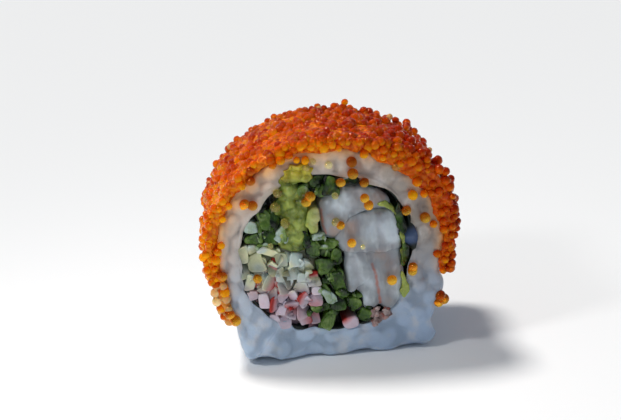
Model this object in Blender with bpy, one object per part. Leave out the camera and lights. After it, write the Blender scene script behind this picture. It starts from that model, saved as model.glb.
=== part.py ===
"""California roll: one cut piece of an inside-out sushi roll, standing on its flat side.

The roll's axis runs along Y, with a cut face at each end, and +Z is up. The origin is on the
flat base, under the middle of the roll. A ring of sticky rice wraps a sheet of nori, which
wraps the filling: shrimp, avocado, cucumber and lettuce strips, and shredded crab stick.
A blanket of flying-fish roe covers the rice over the top and down both sides.
"""

import math

import bmesh
import bpy
import numpy as np
from mathutils import Euler, Matrix, Vector

MM = 0.001  # every size below is in millimetres

# The roll
LENGTH = 23.0  # between the two cut faces
GAP = 0.3  # left between neighbouring pieces
GAP_INSET = 0.24  # each of two neighbours' share of the gap, with room for their flat facets

# The rice ring's outer section: half an ellipse on flanks that narrow to a pressed foot
RICE_HALF_WIDTH = 19.9
RICE_TOP = 38.6
WIDEST_HEIGHT = 21.2
ARCH_REACH = 20.0  # degrees that the ellipse runs on below its widest height
ARCH_STEP = 7.0  # degrees between the ellipse's points
RIGHT_FOOT = ((15.6, 0.0), (17.3, 0.8), (17.9, 2.8), (17.5, 5.2), (18.1, 9.0))
LEFT_FOOT = ((-17.9, 9.0), (-17.0, 5.6), (-16.8, 3.0), (-16.0, 0.9), (-14.4, 0.0))
FOOT_NARROWING = 2.6  # about how much closer the foot is to the middle than the widest part
RICE_CHAMFER = 1.1

# The bore through the rice, which the nori lines
BORE_CENTRE = (-0.6, 19.4)
BORE_HALF = (15.6, 14.8)
BORE_STEPS = 72
BORE_SQUARENESS = 2.25  # exponent of a superellipse: 2 is an ellipse
NORI_THICKNESS = 0.4
SEAM_ANGLE = 30.0  # where the sheet's ends meet, in degrees from +X
FOLD_ANGLE = 11.0  # middle of the sheet's tucked end
FOLD_SPREAD = 7.0
FOLD_OUTWARD = 0.6
FOLD_INWARD = 1.5

# Cooked rice grains, pressed into the ring
GRAIN = (6.2, 2.7, 2.4)
GRAIN_SPACING = 3.8
GRAIN_PROUD = 0.55

# Flying-fish roe
EGG = 1.8
EGG_PITCH = 2.45  # between neighbours in the blanket
ROE_BASE = 1.75  # from the rice to the hollows between the eggs
EGG_RISE = 0.7  # from those hollows to the crown of an egg, give or take
RIM = ((0.0, 0.0), (0.25, 0.5), (0.35, 1.15), (0.15, 2.1))  # steps over an end: out, and down
ROE_TAPER = 3.0  # from an edge of the blanket to its full thickness
ROE_LEFT_END = 7.4  # height of the blanket's left and right edges
ROE_RIGHT_END = 14.6
LOOSE_EGGS = 36

# The filling
SWELL = 1.1  # how far a piece bulges past its own ellipses where nothing stops it
EDGE_ROUNDING = 0.25
SHRED = (2.5, 1.9)  # section of one shred of crab stick
SHRED_SPACING = 2.6

# Eggs that lie on the front cut face of the rice: x and z
EGGS_ON_RICE = (
    (-12.6, 33.0), (-14.7, 29.8), (-18.0, 17.2), (-16.9, 9.8), (4.1, 35.6), (16.4, 24.9),
)  # fmt: skip

# Each piece of the filling: its finish, the ellipses that its section fills (x, z, half
# width, half height, tilt; the first holds the section's middle), how far its front end
# stands proud of the rice, and where eggs lie on that end
FILLING = {
    "shrimp_upper": (
        "shrimp",
        ((2.4, 28.4, 3.9, 2.9, 10), (-0.1, 25.2, 1.8, 3.0, 0), (7.4, 29.4, 4.2, 2.0, -18)),
        0.7,
        ((6.4, 28.9), (1.7, 26.0)),
    ),
    "shrimp_middle": ("shrimp", ((7.3, 23.2, 5.0, 3.3, 0),), 1.0, ((4.6, 22.6),)),
    "shrimp_lower": (
        "shrimp",
        ((7.2, 15.6, 4.7, 4.4, 0), (4.6, 17.0, 2.6, 3.2, 0), (9.2, 11.4, 2.5, 3.0, 0)),
        0.9,
        ((10.1, 14.2),),
    ),
    "avocado": (
        "avocado",
        ((-6.2, 26.0, 2.3, 3.6, 0), (-6.6, 30.4, 1.9, 2.8, 10), (-5.9, 22.2, 2.6, 2.2, 0)),
        0.6,
        ((-6.8, 25.6), (-6.9, 29.2)),
    ),
    "avocado_slice": ("avocado", ((-2.7, 26.2, 1.3, 2.4, 0),), 0.1, ()),
    "avocado_edge": ("avocado", ((12.7, 14.4, 0.9, 2.4, 4),), 0.0, ()),
    "lettuce_edge": ("lettuce", ((12.3, 24.6, 0.8, 2.4, 16),), -0.2, ()),
    "lettuce_1": ("lettuce", ((-3.0, 21.2, 1.8, 2.4, 20),), -0.2, ()),
    "lettuce_2": ("lettuce", ((-0.4, 18.6, 2.1, 2.4, 12),), -0.4, ()),
    "lettuce_3": ("lettuce", ((1.0, 14.2, 1.8, 2.6, 14),), -0.5, ()),
    "cucumber_1": ("cucumber", ((-10.6, 26.0, 2.0, 2.2, -15),), -0.3, ()),
    "cucumber_2": ("cucumber", ((-13.6, 23.0, 1.5, 1.9, -20),), -0.1, ()),
    "cucumber_3": ("cucumber", ((-1.0, 32.0, 2.8, 1.5, 6),), -0.4, ()),
    "cucumber_4": ("cucumber", ((-3.6, 29.9, 1.2, 1.2, 0),), -0.2, ()),
    "cucumber_5": ("cucumber", ((-0.1, 10.7, 1.3, 2.1, 22),), 0.0, ()),
    "cucumber_6": ("cucumber", ((-0.9, 6.9, 1.4, 1.6, 0),), 0.2, ()),
    "cucumber_7": ("cucumber", ((3.4, 9.9, 1.4, 1.3, 0),), -0.3, ()),
    "cucumber_8": ("cucumber", ((-10.3, 22.6, 1.8, 1.5, 0),), -0.2, ()),
    "crab_end": ("crab", ((2.9, 6.6, 1.5, 1.1, 0),), 0.1, ()),
    "crab_shreds": (
        "crab",
        (
            (-8.8, 13.8, 5.6, 5.6, 0), (-12.2, 17.6, 2.9, 2.9, 0), (-5.6, 8.6, 3.4, 2.8, 0),
            (-5.4, 15.6, 2.6, 2.9, 0), (-8.6, 18.6, 2.6, 1.8, 0),
        ),
        -0.9,
        (),
    ),
}  # fmt: skip
SIDES = {"shrimp_upper": 28, "shrimp_lower": 26, "crab_shreds": 28, "avocado": 24}
FEWEST_SIDES = 12
SHRIMP_TAIL = ((6.3, 8.0, 2.7), (7.8, 7.3, 3.0), (9.3, 8.0, 2.6))  # lumps: x, z and size
TAIL_DEPTH = 1.4

SEED = 11
TRIES = 2500  # random places tried where pieces are spread evenly


# --- outlines in the section plane, as lists of (x, z) -------------------------------------


def rice_outline(outset=0.0):
    """The rice's outer section, counter-clockwise from the base's right corner."""
    angles = np.radians(np.arange(-ARCH_REACH, 180.0 + ARCH_REACH + 1.0, ARCH_STEP))
    rise = RICE_TOP - WIDEST_HEIGHT
    arch = np.stack(
        [RICE_HALF_WIDTH * np.cos(angles), WIDEST_HEIGHT + rise * np.sin(angles)], axis=1
    )
    outline = np.concatenate([RIGHT_FOOT, arch, LEFT_FOOT])
    return outline + outset * outward(outline)


def outward(outline):
    """Unit normals of a closed counter-clockwise outline, at its points."""
    along = np.roll(outline, -1, axis=0) - np.roll(outline, 1, axis=0)
    normal = np.stack([along[:, 1], -along[:, 0]], axis=1)
    return normal / np.linalg.norm(normal, axis=1, keepdims=True)


def bore_level(points):
    """1 on the bore's superellipse, less inside it."""
    offset = np.abs((np.asarray(points) - BORE_CENTRE) / BORE_HALF)
    return (offset**BORE_SQUARENESS).sum(axis=-1) ** (1 / BORE_SQUARENESS)


def bore_degrees():
    """Even angles round the bore, from the nori's seam."""
    return SEAM_ANGLE + np.linspace(0, 360, BORE_STEPS, endpoint=False)


def bore_outline(degrees, inset=0.0, fold=0.0):
    """Points of the bore's wall at these angles, moved in by inset and out by fold at the tuck."""
    angles = np.radians(degrees)
    way = np.stack([np.cos(angles), np.sin(angles)], axis=1)
    reach = 1 / bore_level(way + np.asarray(BORE_CENTRE))
    from_fold = (np.asarray(degrees) - FOLD_ANGLE + 180) % 360 - 180
    bump = fold * np.exp(-((from_fold / FOLD_SPREAD) ** 2))
    return BORE_CENTRE + way * (reach - inset + bump)[:, None]


def rounded_block(centre, size, tilt, squareness, sides):
    """A superellipse: the section of a cut strip."""
    angles = np.linspace(0, 2 * np.pi, sides, endpoint=False)
    wave = np.stack([np.cos(angles), np.sin(angles)], axis=1)
    flat = np.sign(wave) * np.abs(wave) ** (2 / squareness) * np.array(size) / 2
    turn = math.radians(tilt)
    across = np.array([[math.cos(turn), math.sin(turn)], [-math.sin(turn), math.cos(turn)]])
    return flat @ across + centre


def beyond(points, blobs):
    """About how far points lie outside a piece made of ellipses, in millimetres."""
    depths = []
    for x, z, half_width, half_height, tilt in blobs:
        turn = math.radians(tilt)
        across = points[..., 0] - x, points[..., 1] - z
        u = (across[0] * math.cos(turn) + across[1] * math.sin(turn)) / half_width
        v = (across[1] * math.cos(turn) - across[0] * math.sin(turn)) / half_height
        depths.append((np.hypot(u, v) - 1) * min(half_width, half_height))
    return np.min(depths, axis=0)


def packed_outline(name, sides):
    """A piece's section, squeezed between its neighbours and the nori."""
    own = FILLING[name][1]
    middle = np.array(own[0][:2])
    angles = np.linspace(0, 2 * np.pi, sides, endpoint=False)
    way = np.stack([np.cos(angles), np.sin(angles)], axis=1)
    reach = np.arange(0.0, 13.0, 0.04)
    points = middle + way[:, None] * reach[None, :, None]
    inside = beyond(points, own)
    others = [beyond(points, piece[1]) for key, piece in FILLING.items() if key != name]
    free = (inside < np.min(others, axis=0)) & (inside < SWELL)
    wall = 1 - (GAP + NORI_THICKNESS + GAP / 2) / min(BORE_HALF)
    free &= bore_level(points) < wall
    first_stop = np.argmin(free, axis=1)
    outline = middle + way * reach[first_stop][:, None]
    outline -= FOLD_INWARD * fold_push(outline)
    return outline - outward(outline) * GAP_INSET


def fold_push(points):
    """How far the nori's tucked end pushes on these points, as a direction times 0 to 1."""
    offset = points - BORE_CENTRE
    angle = np.degrees(np.arctan2(offset[:, 1], offset[:, 0]))
    near_wall = np.clip((bore_level(points) - 0.8) / 0.12, 0, 1)
    strength = near_wall * np.exp(-(((angle - FOLD_ANGLE) / FOLD_SPREAD) ** 2))
    return offset / np.linalg.norm(offset, axis=1, keepdims=True) * strength[:, None]


# --- Blender helpers -----------------------------------------------------------------------


def clear_scene():
    for obj in list(bpy.data.objects):
        bpy.data.objects.remove(obj)


def new_collection(name):
    collection = bpy.data.collections.new(name)
    bpy.context.scene.collection.children.link(collection)
    return collection


def material(name, colour, roughness):
    made = bpy.data.materials.new(name)
    made.use_nodes = True
    shader = made.node_tree.nodes["Principled BSDF"]
    shader.inputs["Base Color"].default_value = (*colour, 1.0)
    shader.inputs["Roughness"].default_value = roughness
    shader.inputs["Metallic"].default_value = 0.0
    return made


def prism(name, outlines, half_length, collection, round_edge=0.0):
    """A solid with this section, running along Y; a second outline is a hole through it."""
    curve = bpy.data.curves.new(name, "CURVE")
    curve.dimensions = "2D"
    curve.fill_mode = "BOTH"
    curve.extrude = (half_length - round_edge) * MM
    curve.bevel_depth = round_edge * MM
    curve.bevel_resolution = 0
    curve.offset = -round_edge * MM
    for outline in outlines:
        spline = curve.splines.new("POLY")
        spline.points.add(len(outline) - 1)
        spline.use_cyclic_u = True
        for point, (x, z) in zip(spline.points, outline):
            point.co = (x * MM, z * MM, 0.0, 1.0)
    obj = bpy.data.objects.new(name, curve)
    obj.rotation_euler = (math.radians(90), 0.0, 0.0)
    collection.objects.link(obj)
    return as_mesh(obj, collection)


def as_mesh(obj, collection):
    """A mesh object in place of a curve, with its caps welded to its sides."""
    bpy.context.view_layer.update()
    graph = bpy.context.evaluated_depsgraph_get()
    mesh = bpy.data.meshes.new_from_object(obj.evaluated_get(graph))
    shape = bmesh.new()
    shape.from_mesh(mesh)
    bmesh.ops.remove_doubles(shape, verts=shape.verts, dist=1e-6)
    bmesh.ops.recalc_face_normals(shape, faces=shape.faces)
    shape.to_mesh(mesh)
    shape.free()
    name, matrix = obj.name, obj.matrix_world.copy()
    bpy.data.objects.remove(obj)
    made = bpy.data.objects.new(name, mesh)
    made.matrix_world = matrix
    collection.objects.link(made)
    return made


def ball(name, place, size, turn, collection, fine=False):
    """A low ellipsoid: an egg of roe or, stretched, a grain of rice."""
    mesh = bpy.data.meshes.new(name)
    shape = bmesh.new()
    if fine:
        bmesh.ops.create_uvsphere(shape, u_segments=6, v_segments=4, radius=0.5)
    else:
        bmesh.ops.create_icosphere(shape, subdivisions=1, radius=0.5)
    stretch = Matrix.Diagonal((*(side * MM for side in size), 1.0))
    spin = Euler(turn).to_matrix().to_4x4()
    move = Matrix.Translation(Vector(place) * MM)
    bmesh.ops.transform(shape, matrix=move @ spin @ stretch, verts=shape.verts)
    shape.to_mesh(mesh)
    shape.free()
    obj = bpy.data.objects.new(name, mesh)
    collection.objects.link(obj)
    return obj


def join_all(obj, pieces):
    """Fuses every object of a collection into obj, then removes them."""
    if not pieces.objects:
        bpy.data.collections.remove(pieces)
        return
    union = obj.modifiers.new("fused", "BOOLEAN")
    union.operation = "UNION"
    union.operand_type = "COLLECTION"
    union.collection = pieces
    union.solver = "MANIFOLD"
    apply_modifiers(obj)
    for piece in list(pieces.objects):
        bpy.data.objects.remove(piece)
    bpy.data.collections.remove(pieces)


def cut_away(obj, cutter):
    """Cuts another solid out of obj, then removes that solid."""
    cut = obj.modifiers.new("cut", "BOOLEAN")
    cut.operation = "DIFFERENCE"
    cut.object = cutter
    cut.solver = "MANIFOLD"
    apply_modifiers(obj)
    bpy.data.objects.remove(cutter)


def apply_modifiers(obj):
    bpy.context.view_layer.update()
    graph = bpy.context.evaluated_depsgraph_get()
    mesh = bpy.data.meshes.new_from_object(obj.evaluated_get(graph))
    obj.modifiers.clear()
    obj.data = mesh


# --- the rice ------------------------------------------------------------------------------


def chamfer_outer_edges(obj):
    """Takes the sharp edge off the rice ring's outer rims at both cut faces."""
    shape = bmesh.new()
    shape.from_mesh(obj.data)
    rims = []
    for edge in shape.edges:
        if len(edge.link_faces) != 2 or edge.calc_face_angle() < math.radians(60):
            continue
        middle = (edge.verts[0].co + edge.verts[1].co) / 2 / MM
        level = bore_level((middle.x, middle.y))
        if abs(middle.z) > LENGTH / 2 - 0.01 and level > 1.12 and middle.y > 0.05:
            rims.append(edge)
    bmesh.ops.bevel(
        shape, geom=rims, offset=RICE_CHAMFER * MM, segments=1, affect="EDGES", clamp_overlap=True
    )
    shape.to_mesh(obj.data)
    shape.free()


def grain_fits(centre, half_length, turn):
    """True if a grain lying in the cut face stays on the ring of rice, clear of its edges."""
    reach = np.array([math.cos(turn), math.sin(turn)]) * half_length
    side = np.array([-math.sin(turn), math.cos(turn)]) * GRAIN[1] / 2
    rim = [centre + reach, centre - reach, centre + side, centre - side]
    return all(bore_level(p) > 1.02 and ring_level(p) < 0.97 and p[1] > GAP for p in rim)


def ring_level(point):
    """About 1 on the rice's outer section, less inside it."""
    x, z = point
    if z > WIDEST_HEIGHT:
        return math.hypot(x / RICE_HALF_WIDTH, (z - WIDEST_HEIGHT) / (RICE_TOP - WIDEST_HEIGHT))
    return abs(x) / (RICE_HALF_WIDTH - FOOT_NARROWING * (1 - z / WIDEST_HEIGHT))


def face_grains(random, front):
    """Places and turns of the grains that show on one cut face, evenly spread."""
    found = []
    for _ in range(TRIES):
        centre = np.array(
            [random.uniform(-RICE_HALF_WIDTH, RICE_HALF_WIDTH), random.uniform(0, RICE_TOP)]
        )
        turn = random.uniform(0, math.pi)
        half_length = GRAIN[0] / 2 * random.uniform(0.55, 0.95)
        near = any(np.linalg.norm(centre - other) < GRAIN_SPACING for other, _, _ in found)
        if not near and grain_fits(centre, half_length, turn):
            found.append((centre, half_length, turn))
    depth = (LENGTH / 2 + GRAIN_PROUD - GRAIN[2] / 2) * (-1 if front else 1)
    return [((x, depth, z), half, (0.0, -turn, 0.0)) for (x, z), half, turn in found]


def flank_grains(random):
    """Grains on the bare flanks below the roe, lying along the roll."""
    found = []
    for side, foot, top in ((1, RIGHT_FOOT, ROE_RIGHT_END), (-1, LEFT_FOOT[::-1], ROE_LEFT_END)):
        heights = [z for _, z in foot]
        for height in np.arange(2.6, top - 1.6, 2.3):
            for y in np.arange(-LENGTH / 2 + 3.0, LENGTH / 2 - 2.0, 5.4):
                z = height + random.uniform(-0.7, 0.7)
                wall = np.interp(z, heights, [x for x, _ in foot])
                x = wall - side * (GRAIN[2] / 2 - GRAIN_PROUD)
                place = (x, y + random.uniform(-1.2, 1.2), z)
                turn = (0.0, random.uniform(-0.6, 0.6), math.pi / 2 + random.uniform(-0.7, 0.7))
                found.append((place, GRAIN[0] / 2 * random.uniform(0.7, 0.9), turn))
    return found


def make_rice(parts, look):
    """The pressed ring of rice, with the grains that show fused on."""
    hole = bore_outline(bore_degrees(), fold=FOLD_OUTWARD)[::-1]
    rice = prism("rice", [rice_outline(), hole], LENGTH / 2, parts)
    chamfer_outer_edges(rice)
    random = np.random.default_rng(SEED)
    grains = new_collection("rice grains")
    placed = face_grains(random, True) + face_grains(random, False) + flank_grains(random)
    for index, (place, half_length, turn) in enumerate(placed):
        size = (2 * half_length, GRAIN[1], GRAIN[2])
        ball(f"grain {index}", place, size, turn, grains, fine=True)
    for index, (x, z) in enumerate(EGGS_ON_RICE):
        ball(f"egg {index}", (x, -LENGTH / 2 - 0.35, z), (EGG,) * 3, (index, 1.0, 2.0), grains)
    join_all(rice, grains)
    rice.data.materials.append(look)


# --- the nori ------------------------------------------------------------------------------


def make_nori(parts, look):
    """One sheet rolled into a ring, its last stretch tucked in as a thick fold."""
    slit = math.degrees(GAP / BORE_HALF[0])
    degrees = np.append(bore_degrees(), SEAM_ANGLE + 360)
    degrees[0] += slit
    outer = bore_outline(degrees, inset=GAP, fold=FOLD_OUTWARD)
    inner = bore_outline(degrees, inset=GAP + NORI_THICKNESS, fold=-FOLD_INWARD)
    nori = prism("nori", [np.concatenate([outer, inner[::-1]])], LENGTH / 2, parts)
    nori.data.materials.append(look)


# --- the roe -------------------------------------------------------------------------------


def blanket_line():
    """The line that the roe lies on: the rice's outer section from the right edge to the left."""
    outline = rice_outline(GAP)
    line = outline[[z > (ROE_RIGHT_END if x > 0 else ROE_LEFT_END) for x, z in outline]]
    steps = np.linalg.norm(np.diff(line, axis=0), axis=1)
    return line, np.concatenate([[0.0], np.cumsum(steps)])


def on_line(line, lengths, at, out):
    """Points at these lengths along the line, and out from it."""
    points = np.stack([np.interp(at, lengths, line[:, k]) for k in (0, 1)], axis=-1)
    ahead = np.stack([np.interp(at + 0.5, lengths, line[:, k]) for k in (0, 1)], axis=-1)
    behind = np.stack([np.interp(at - 0.5, lengths, line[:, k]) for k in (0, 1)], axis=-1)
    along = (ahead - behind) / np.linalg.norm(ahead - behind, axis=-1, keepdims=True)
    normal = np.stack([along[..., 1], -along[..., 0]], axis=-1)
    return points + normal * np.asarray(out)[..., None]


def blanket_rows():
    """Rows from the front end over the blanket to the back: how far along, and how far down.

    There are two rows to a row of eggs, so that each egg is one raised point of a
    triangular net, with six low points round it.
    """
    count = round(LENGTH / (EGG_PITCH * math.sqrt(3) / 4) / 4) * 4
    top = [(y, 0.0) for y in np.linspace(-LENGTH / 2, LENGTH / 2, count + 1)]
    front = [(-LENGTH / 2 - forwards, down) for forwards, down in RIM]
    return front[::-1] + top[1:-1] + [(-y, down) for y, down in front]


def make_roe(parts, look):
    """The blanket of roe: bumps of an egg's size all over, and loose eggs fused on."""
    random = np.random.default_rng(SEED + 1)
    line, lengths = blanket_line()
    total = lengths[-1]
    columns = round(total / EGG_PITCH) * 2
    even = np.linspace(0, total, columns + 1)
    shape = bmesh.new()
    net = []
    for row, (y, down) in enumerate(blanket_rows()):
        at = np.clip(even + EGG_PITCH / 4 * (1 if row % 2 else -1), 0, total)
        is_egg = (row % 2 == 0) & ((np.arange(columns + 1) + row // 2) % 2 == 0)
        rise = is_egg * EGG_RISE * random.uniform(0.6, 1.3, columns + 1)
        taper = np.clip(np.minimum(at, total - at) / ROE_TAPER, 0.5, 1)
        jitter = random.uniform(-0.12, 0.12, (2, columns + 1)) * (down == 0)
        out = (ROE_BASE + rise * (down == 0)) * taper - down
        points = on_line(line, lengths, at + jitter[0], out)
        shift = jitter[1] + np.sign(y) * rise * (down > 0) * 0.8
        net.append(
            [shape.verts.new(Vector((x, y + dy, z)) * MM) for (x, z), dy in zip(points, shift)]
        )
    stitch(shape, net)
    close_under(shape, net)
    roe = finished(shape, "roe", parts)
    cutter = prism("roe cutter", [rice_outline(GAP)], LENGTH, new_collection("cutters"))
    cut_away(roe, cutter)
    add_loose_eggs(roe, random, line, lengths)
    roe.data.materials.append(look)


def stitch(shape, net):
    """Triangles between neighbouring rows of a triangular net."""
    for row, (low, high) in enumerate(zip(net, net[1:])):
        for i in range(len(low) - 1):
            a, b, c, d = low[i], low[i + 1], high[i + 1], high[i]
            for corners in ((a, b, c), (a, c, d)) if row % 2 else ((a, b, d), (b, c, d)):
                shape.faces.new(corners)


def close_under(shape, net):
    """Closes the blanket to a solid under it, down to a line along the roll's middle."""
    x, z = BORE_CENTRE[0] * MM, BORE_CENTRE[1] * MM
    middle = [shape.verts.new((x, row[0].co.y, z)) for row in net]
    for row, centre in ((net[0], middle[0]), (net[-1], middle[-1])):
        for i in range(len(row) - 1):
            shape.faces.new((row[i], row[i + 1], centre))
    for j in range(len(net) - 1):
        for side in (0, -1):
            shape.faces.new((net[j][side], net[j + 1][side], middle[j]))
            shape.faces.new((net[j + 1][side], middle[j + 1], middle[j]))


def finished(shape, name, collection):
    """An object from a hand-built closed shape."""
    mesh = bpy.data.meshes.new(name)
    bmesh.ops.recalc_face_normals(shape, faces=shape.faces)
    shape.to_mesh(mesh)
    shape.free()
    obj = bpy.data.objects.new(name, mesh)
    collection.objects.link(obj)
    return obj


def add_loose_eggs(roe, random, line, lengths):
    """Whole eggs that stand on the blanket."""
    eggs = new_collection("loose eggs")
    for index in range(LOOSE_EGGS):
        share = (index + 0.5 + random.uniform(-0.3, 0.3)) / LOOSE_EGGS
        at = ROE_TAPER + (lengths[-1] - 2 * ROE_TAPER) * share
        x, z = on_line(line, lengths, at, ROE_BASE + 0.5)
        y = random.uniform(-0.95, 0.95) * LENGTH / 2
        size = EGG * random.uniform(0.95, 1.1)
        ball(f"egg {index}", (x, y, z), (size,) * 3, random.uniform(0, 3, 3), eggs)
    join_all(roe, eggs)


# --- the filling ---------------------------------------------------------------------------


def make_filling(parts, looks):
    """The packed pieces, each running the roll's whole length."""
    for name, (finish, _, proud, eggs) in FILLING.items():
        outline = packed_outline(name, SIDES.get(name, FEWEST_SIDES))
        half_length = LENGTH / 2 + proud
        piece = prism(name, [outline], half_length, parts, EDGE_ROUNDING)
        extras = new_collection("extras")
        for index, (x, z) in enumerate(eggs):
            place = (x, -half_length - 0.3, z)
            ball(f"{name} egg {index}", place, (EGG,) * 3, (index, 1.0, 0.5), extras)
        if name == "shrimp_lower":
            add_tail(extras, half_length)
        if name == "crab_shreds":
            add_shreds(extras, outline)
        join_all(piece, extras)
        piece.data.materials.append(looks[finish])


def add_tail(extras, half_length):
    """The ragged end of the lower shrimp, hanging in front of the nori."""
    for index, (x, z, size) in enumerate(SHRIMP_TAIL):
        place = (x, -half_length - 0.1, z)
        ball(f"tail {index}", place, (size, TAIL_DEPTH, size * 0.8), (0.0, 0.5, 0.0), extras)


def add_shreds(extras, outline):
    """The uneven ends of the crab shreds, at both cut faces."""
    random = np.random.default_rng(SEED + 2)
    middle = outline.mean(axis=0)
    room = middle + (outline - middle) * 0.82
    placed = []
    for _ in range(TRIES):
        spot = random.uniform(room.min(axis=0), room.max(axis=0))
        near = any(np.linalg.norm(spot - other) < SHRED_SPACING for other in placed)
        if not near and within(spot, room):
            placed.append(spot)
    for index, spot in enumerate(placed):
        width, height = np.array(SHRED) * random.uniform(0.85, 1.1, 2)
        section = rounded_block(spot, (width, height), random.uniform(-50, 50), 6, 8)
        half_length = LENGTH / 2 + random.uniform(-0.6, 0.5)
        prism(f"shred {index}", [section], half_length, extras)


def within(point, outline):
    """True if the point is inside the closed outline, by the crossings of a ray along +X."""
    x, z = point
    ahead = np.roll(outline, -1, axis=0)
    spans = (outline[:, 1] > z) != (ahead[:, 1] > z)
    rise = np.where(spans, ahead[:, 1] - outline[:, 1], 1.0)
    cross = outline[:, 0] + (z - outline[:, 1]) / rise * (ahead[:, 0] - outline[:, 0])
    return bool((spans & (x < cross)).sum() % 2)


def main():
    clear_scene()
    parts = new_collection("california roll")
    looks = {
        "rice": material("rice", (0.62, 0.64, 0.66), 0.4),
        "nori": material("nori", (0.012, 0.014, 0.016), 0.5),
        "roe": material("roe", (0.75, 0.16, 0.01), 0.15),
        "shrimp": material("shrimp", (0.66, 0.66, 0.66), 0.35),
        "avocado": material("avocado", (0.33, 0.38, 0.06), 0.45),
        "cucumber": material("cucumber", (0.10, 0.19, 0.05), 0.35),
        "lettuce": material("lettuce", (0.06, 0.13, 0.03), 0.35),
        "crab": material("crab stick", (0.62, 0.56, 0.50), 0.45),
    }
    make_rice(parts, looks["rice"])
    make_nori(parts, looks["nori"])
    make_roe(parts, looks["roe"])
    make_filling(parts, looks)


main()
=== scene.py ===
"""California roll: the finished look of one cut piece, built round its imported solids.

Sizes are in millimetres and become metres as each mesh is made. The roll's axis runs along Y
and its front cut face looks towards -Y. Every new piece is a grid of points. Its columns run
round it, anticlockwise seen from the front, and its rows from front to back, and home through
the bore where the piece is a ring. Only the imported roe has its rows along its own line.
"""

import itertools
import math

import bpy
import numpy as np
from mathutils import Matrix, Vector


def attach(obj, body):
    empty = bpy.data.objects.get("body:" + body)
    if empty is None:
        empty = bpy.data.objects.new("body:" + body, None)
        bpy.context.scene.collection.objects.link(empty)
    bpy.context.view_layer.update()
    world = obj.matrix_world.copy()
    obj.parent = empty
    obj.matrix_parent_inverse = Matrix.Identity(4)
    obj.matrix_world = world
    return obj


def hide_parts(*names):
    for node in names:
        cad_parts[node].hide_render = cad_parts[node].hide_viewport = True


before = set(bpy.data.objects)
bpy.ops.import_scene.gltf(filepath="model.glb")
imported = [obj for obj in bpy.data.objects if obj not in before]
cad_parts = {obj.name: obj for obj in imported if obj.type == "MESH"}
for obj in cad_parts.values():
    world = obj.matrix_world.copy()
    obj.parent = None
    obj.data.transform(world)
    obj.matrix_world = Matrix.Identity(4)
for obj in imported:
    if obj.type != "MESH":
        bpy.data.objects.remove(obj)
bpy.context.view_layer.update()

# --- Studio ---------------------------------------------------------------------------------
# A long lens looks down a little on the front cut face. A soft sun above and behind the roll
# and a small window at its upper left light it, a cool sky fills in from all round, and the
# floor is a plain pale sheet.

MM = 0.001
LENGTH = 23.0  # between the two cut faces
FRONT = -LENGTH / 2
IMAGE_WIDTH = 621
FOCAL_PIXELS = 1111.8
SENSOR = 36.0
CAMERA_AIM = (-3.2, FRONT, 27.65)  # the point at the middle of the view
CAMERA_DISTANCE = 189.0
CAMERA_TURN = math.radians(-4.0)
CAMERA_RISE = math.radians(18.0)
CAMERA_ROLL = math.radians(3.0)
SUN = {
    "towards": (-0.35, 0.30, 1.0),
    "strength": 2.35,
    "colour": (1.0, 0.97, 0.93),
    "spread": 13.0,
}
WINDOW = {"place": (-64, -46, 104), "aim": (0, FRONT, 17), "size": 19, "power": 0.040}
SKY = {"Color": (0.80, 0.89, 1.0, 1.0), "Strength": 0.29}
FLOOR_HALF_SIZE = 3000.0
FLOOR_LOOK = {"Roughness": 0.7, "Base Color": (0.96, 0.96, 0.96, 1.0)}


def add_camera():
    """Looks from CAMERA_DISTANCE at CAMERA_AIM, turned about Z, raised, and rolled."""
    flat = math.cos(CAMERA_RISE)
    back = Vector(
        (math.sin(CAMERA_TURN) * flat, -math.cos(CAMERA_TURN) * flat, math.sin(CAMERA_RISE))
    )
    right = (-back).cross(Vector((0, 0, 1))).normalized()
    up = right.cross(-back)
    across = right * math.cos(CAMERA_ROLL) - up * math.sin(CAMERA_ROLL)
    upward = right * math.sin(CAMERA_ROLL) + up * math.cos(CAMERA_ROLL)
    camera = bpy.data.objects.new("camera", bpy.data.cameras.new("camera"))
    camera.data.sensor_width = SENSOR
    camera.data.lens = FOCAL_PIXELS / IMAGE_WIDTH * SENSOR
    camera.data.clip_start = MM
    turn = Matrix((across, upward, back)).transposed().to_4x4()
    place = (Vector(CAMERA_AIM) + back * CAMERA_DISTANCE) * MM
    camera.matrix_world = Matrix.Translation(place) @ turn
    bpy.context.scene.collection.objects.link(camera)
    bpy.context.scene.camera = camera


def add_sun(name, towards, strength, colour, spread):
    """A soft distant light that shines from the direction towards."""
    light = bpy.data.lights.new(name, "SUN")
    light.energy = strength
    light.color = colour
    light.angle = math.radians(spread)
    sun = bpy.data.objects.new(name, light)
    sun.matrix_world = Vector(towards).to_track_quat("Z", "Y").to_matrix().to_4x4()
    bpy.context.scene.collection.objects.link(sun)


def add_panel(name, place, aim, size, power):
    """A square soft box at place that shines at aim."""
    light = bpy.data.lights.new(name, "AREA")
    light.energy = power
    light.size = size * MM
    panel = bpy.data.objects.new(name, light)
    turn = (Vector(place) - Vector(aim)).to_track_quat("Z", "Y").to_matrix().to_4x4()
    panel.matrix_world = Matrix.Translation(Vector(place) * MM) @ turn
    bpy.context.scene.collection.objects.link(panel)


add_camera()
add_sun("overhead light", **SUN)
add_panel("window light", **WINDOW)
world = bpy.data.worlds.new("sky")
world.use_nodes = True
for key, value in SKY.items():
    world.node_tree.nodes["Background"].inputs[key].default_value = value
bpy.context.scene.world = world
bpy.context.scene.view_settings.view_transform = "Standard"

# --- Rice -----------------------------------------------------------------------------------
# A ring of sticky short-grain rice, pressed in a mat and cut with a wet knife, so its grains
# are smeared together on the cut faces. It stands on a flat pressed foot.

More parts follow.
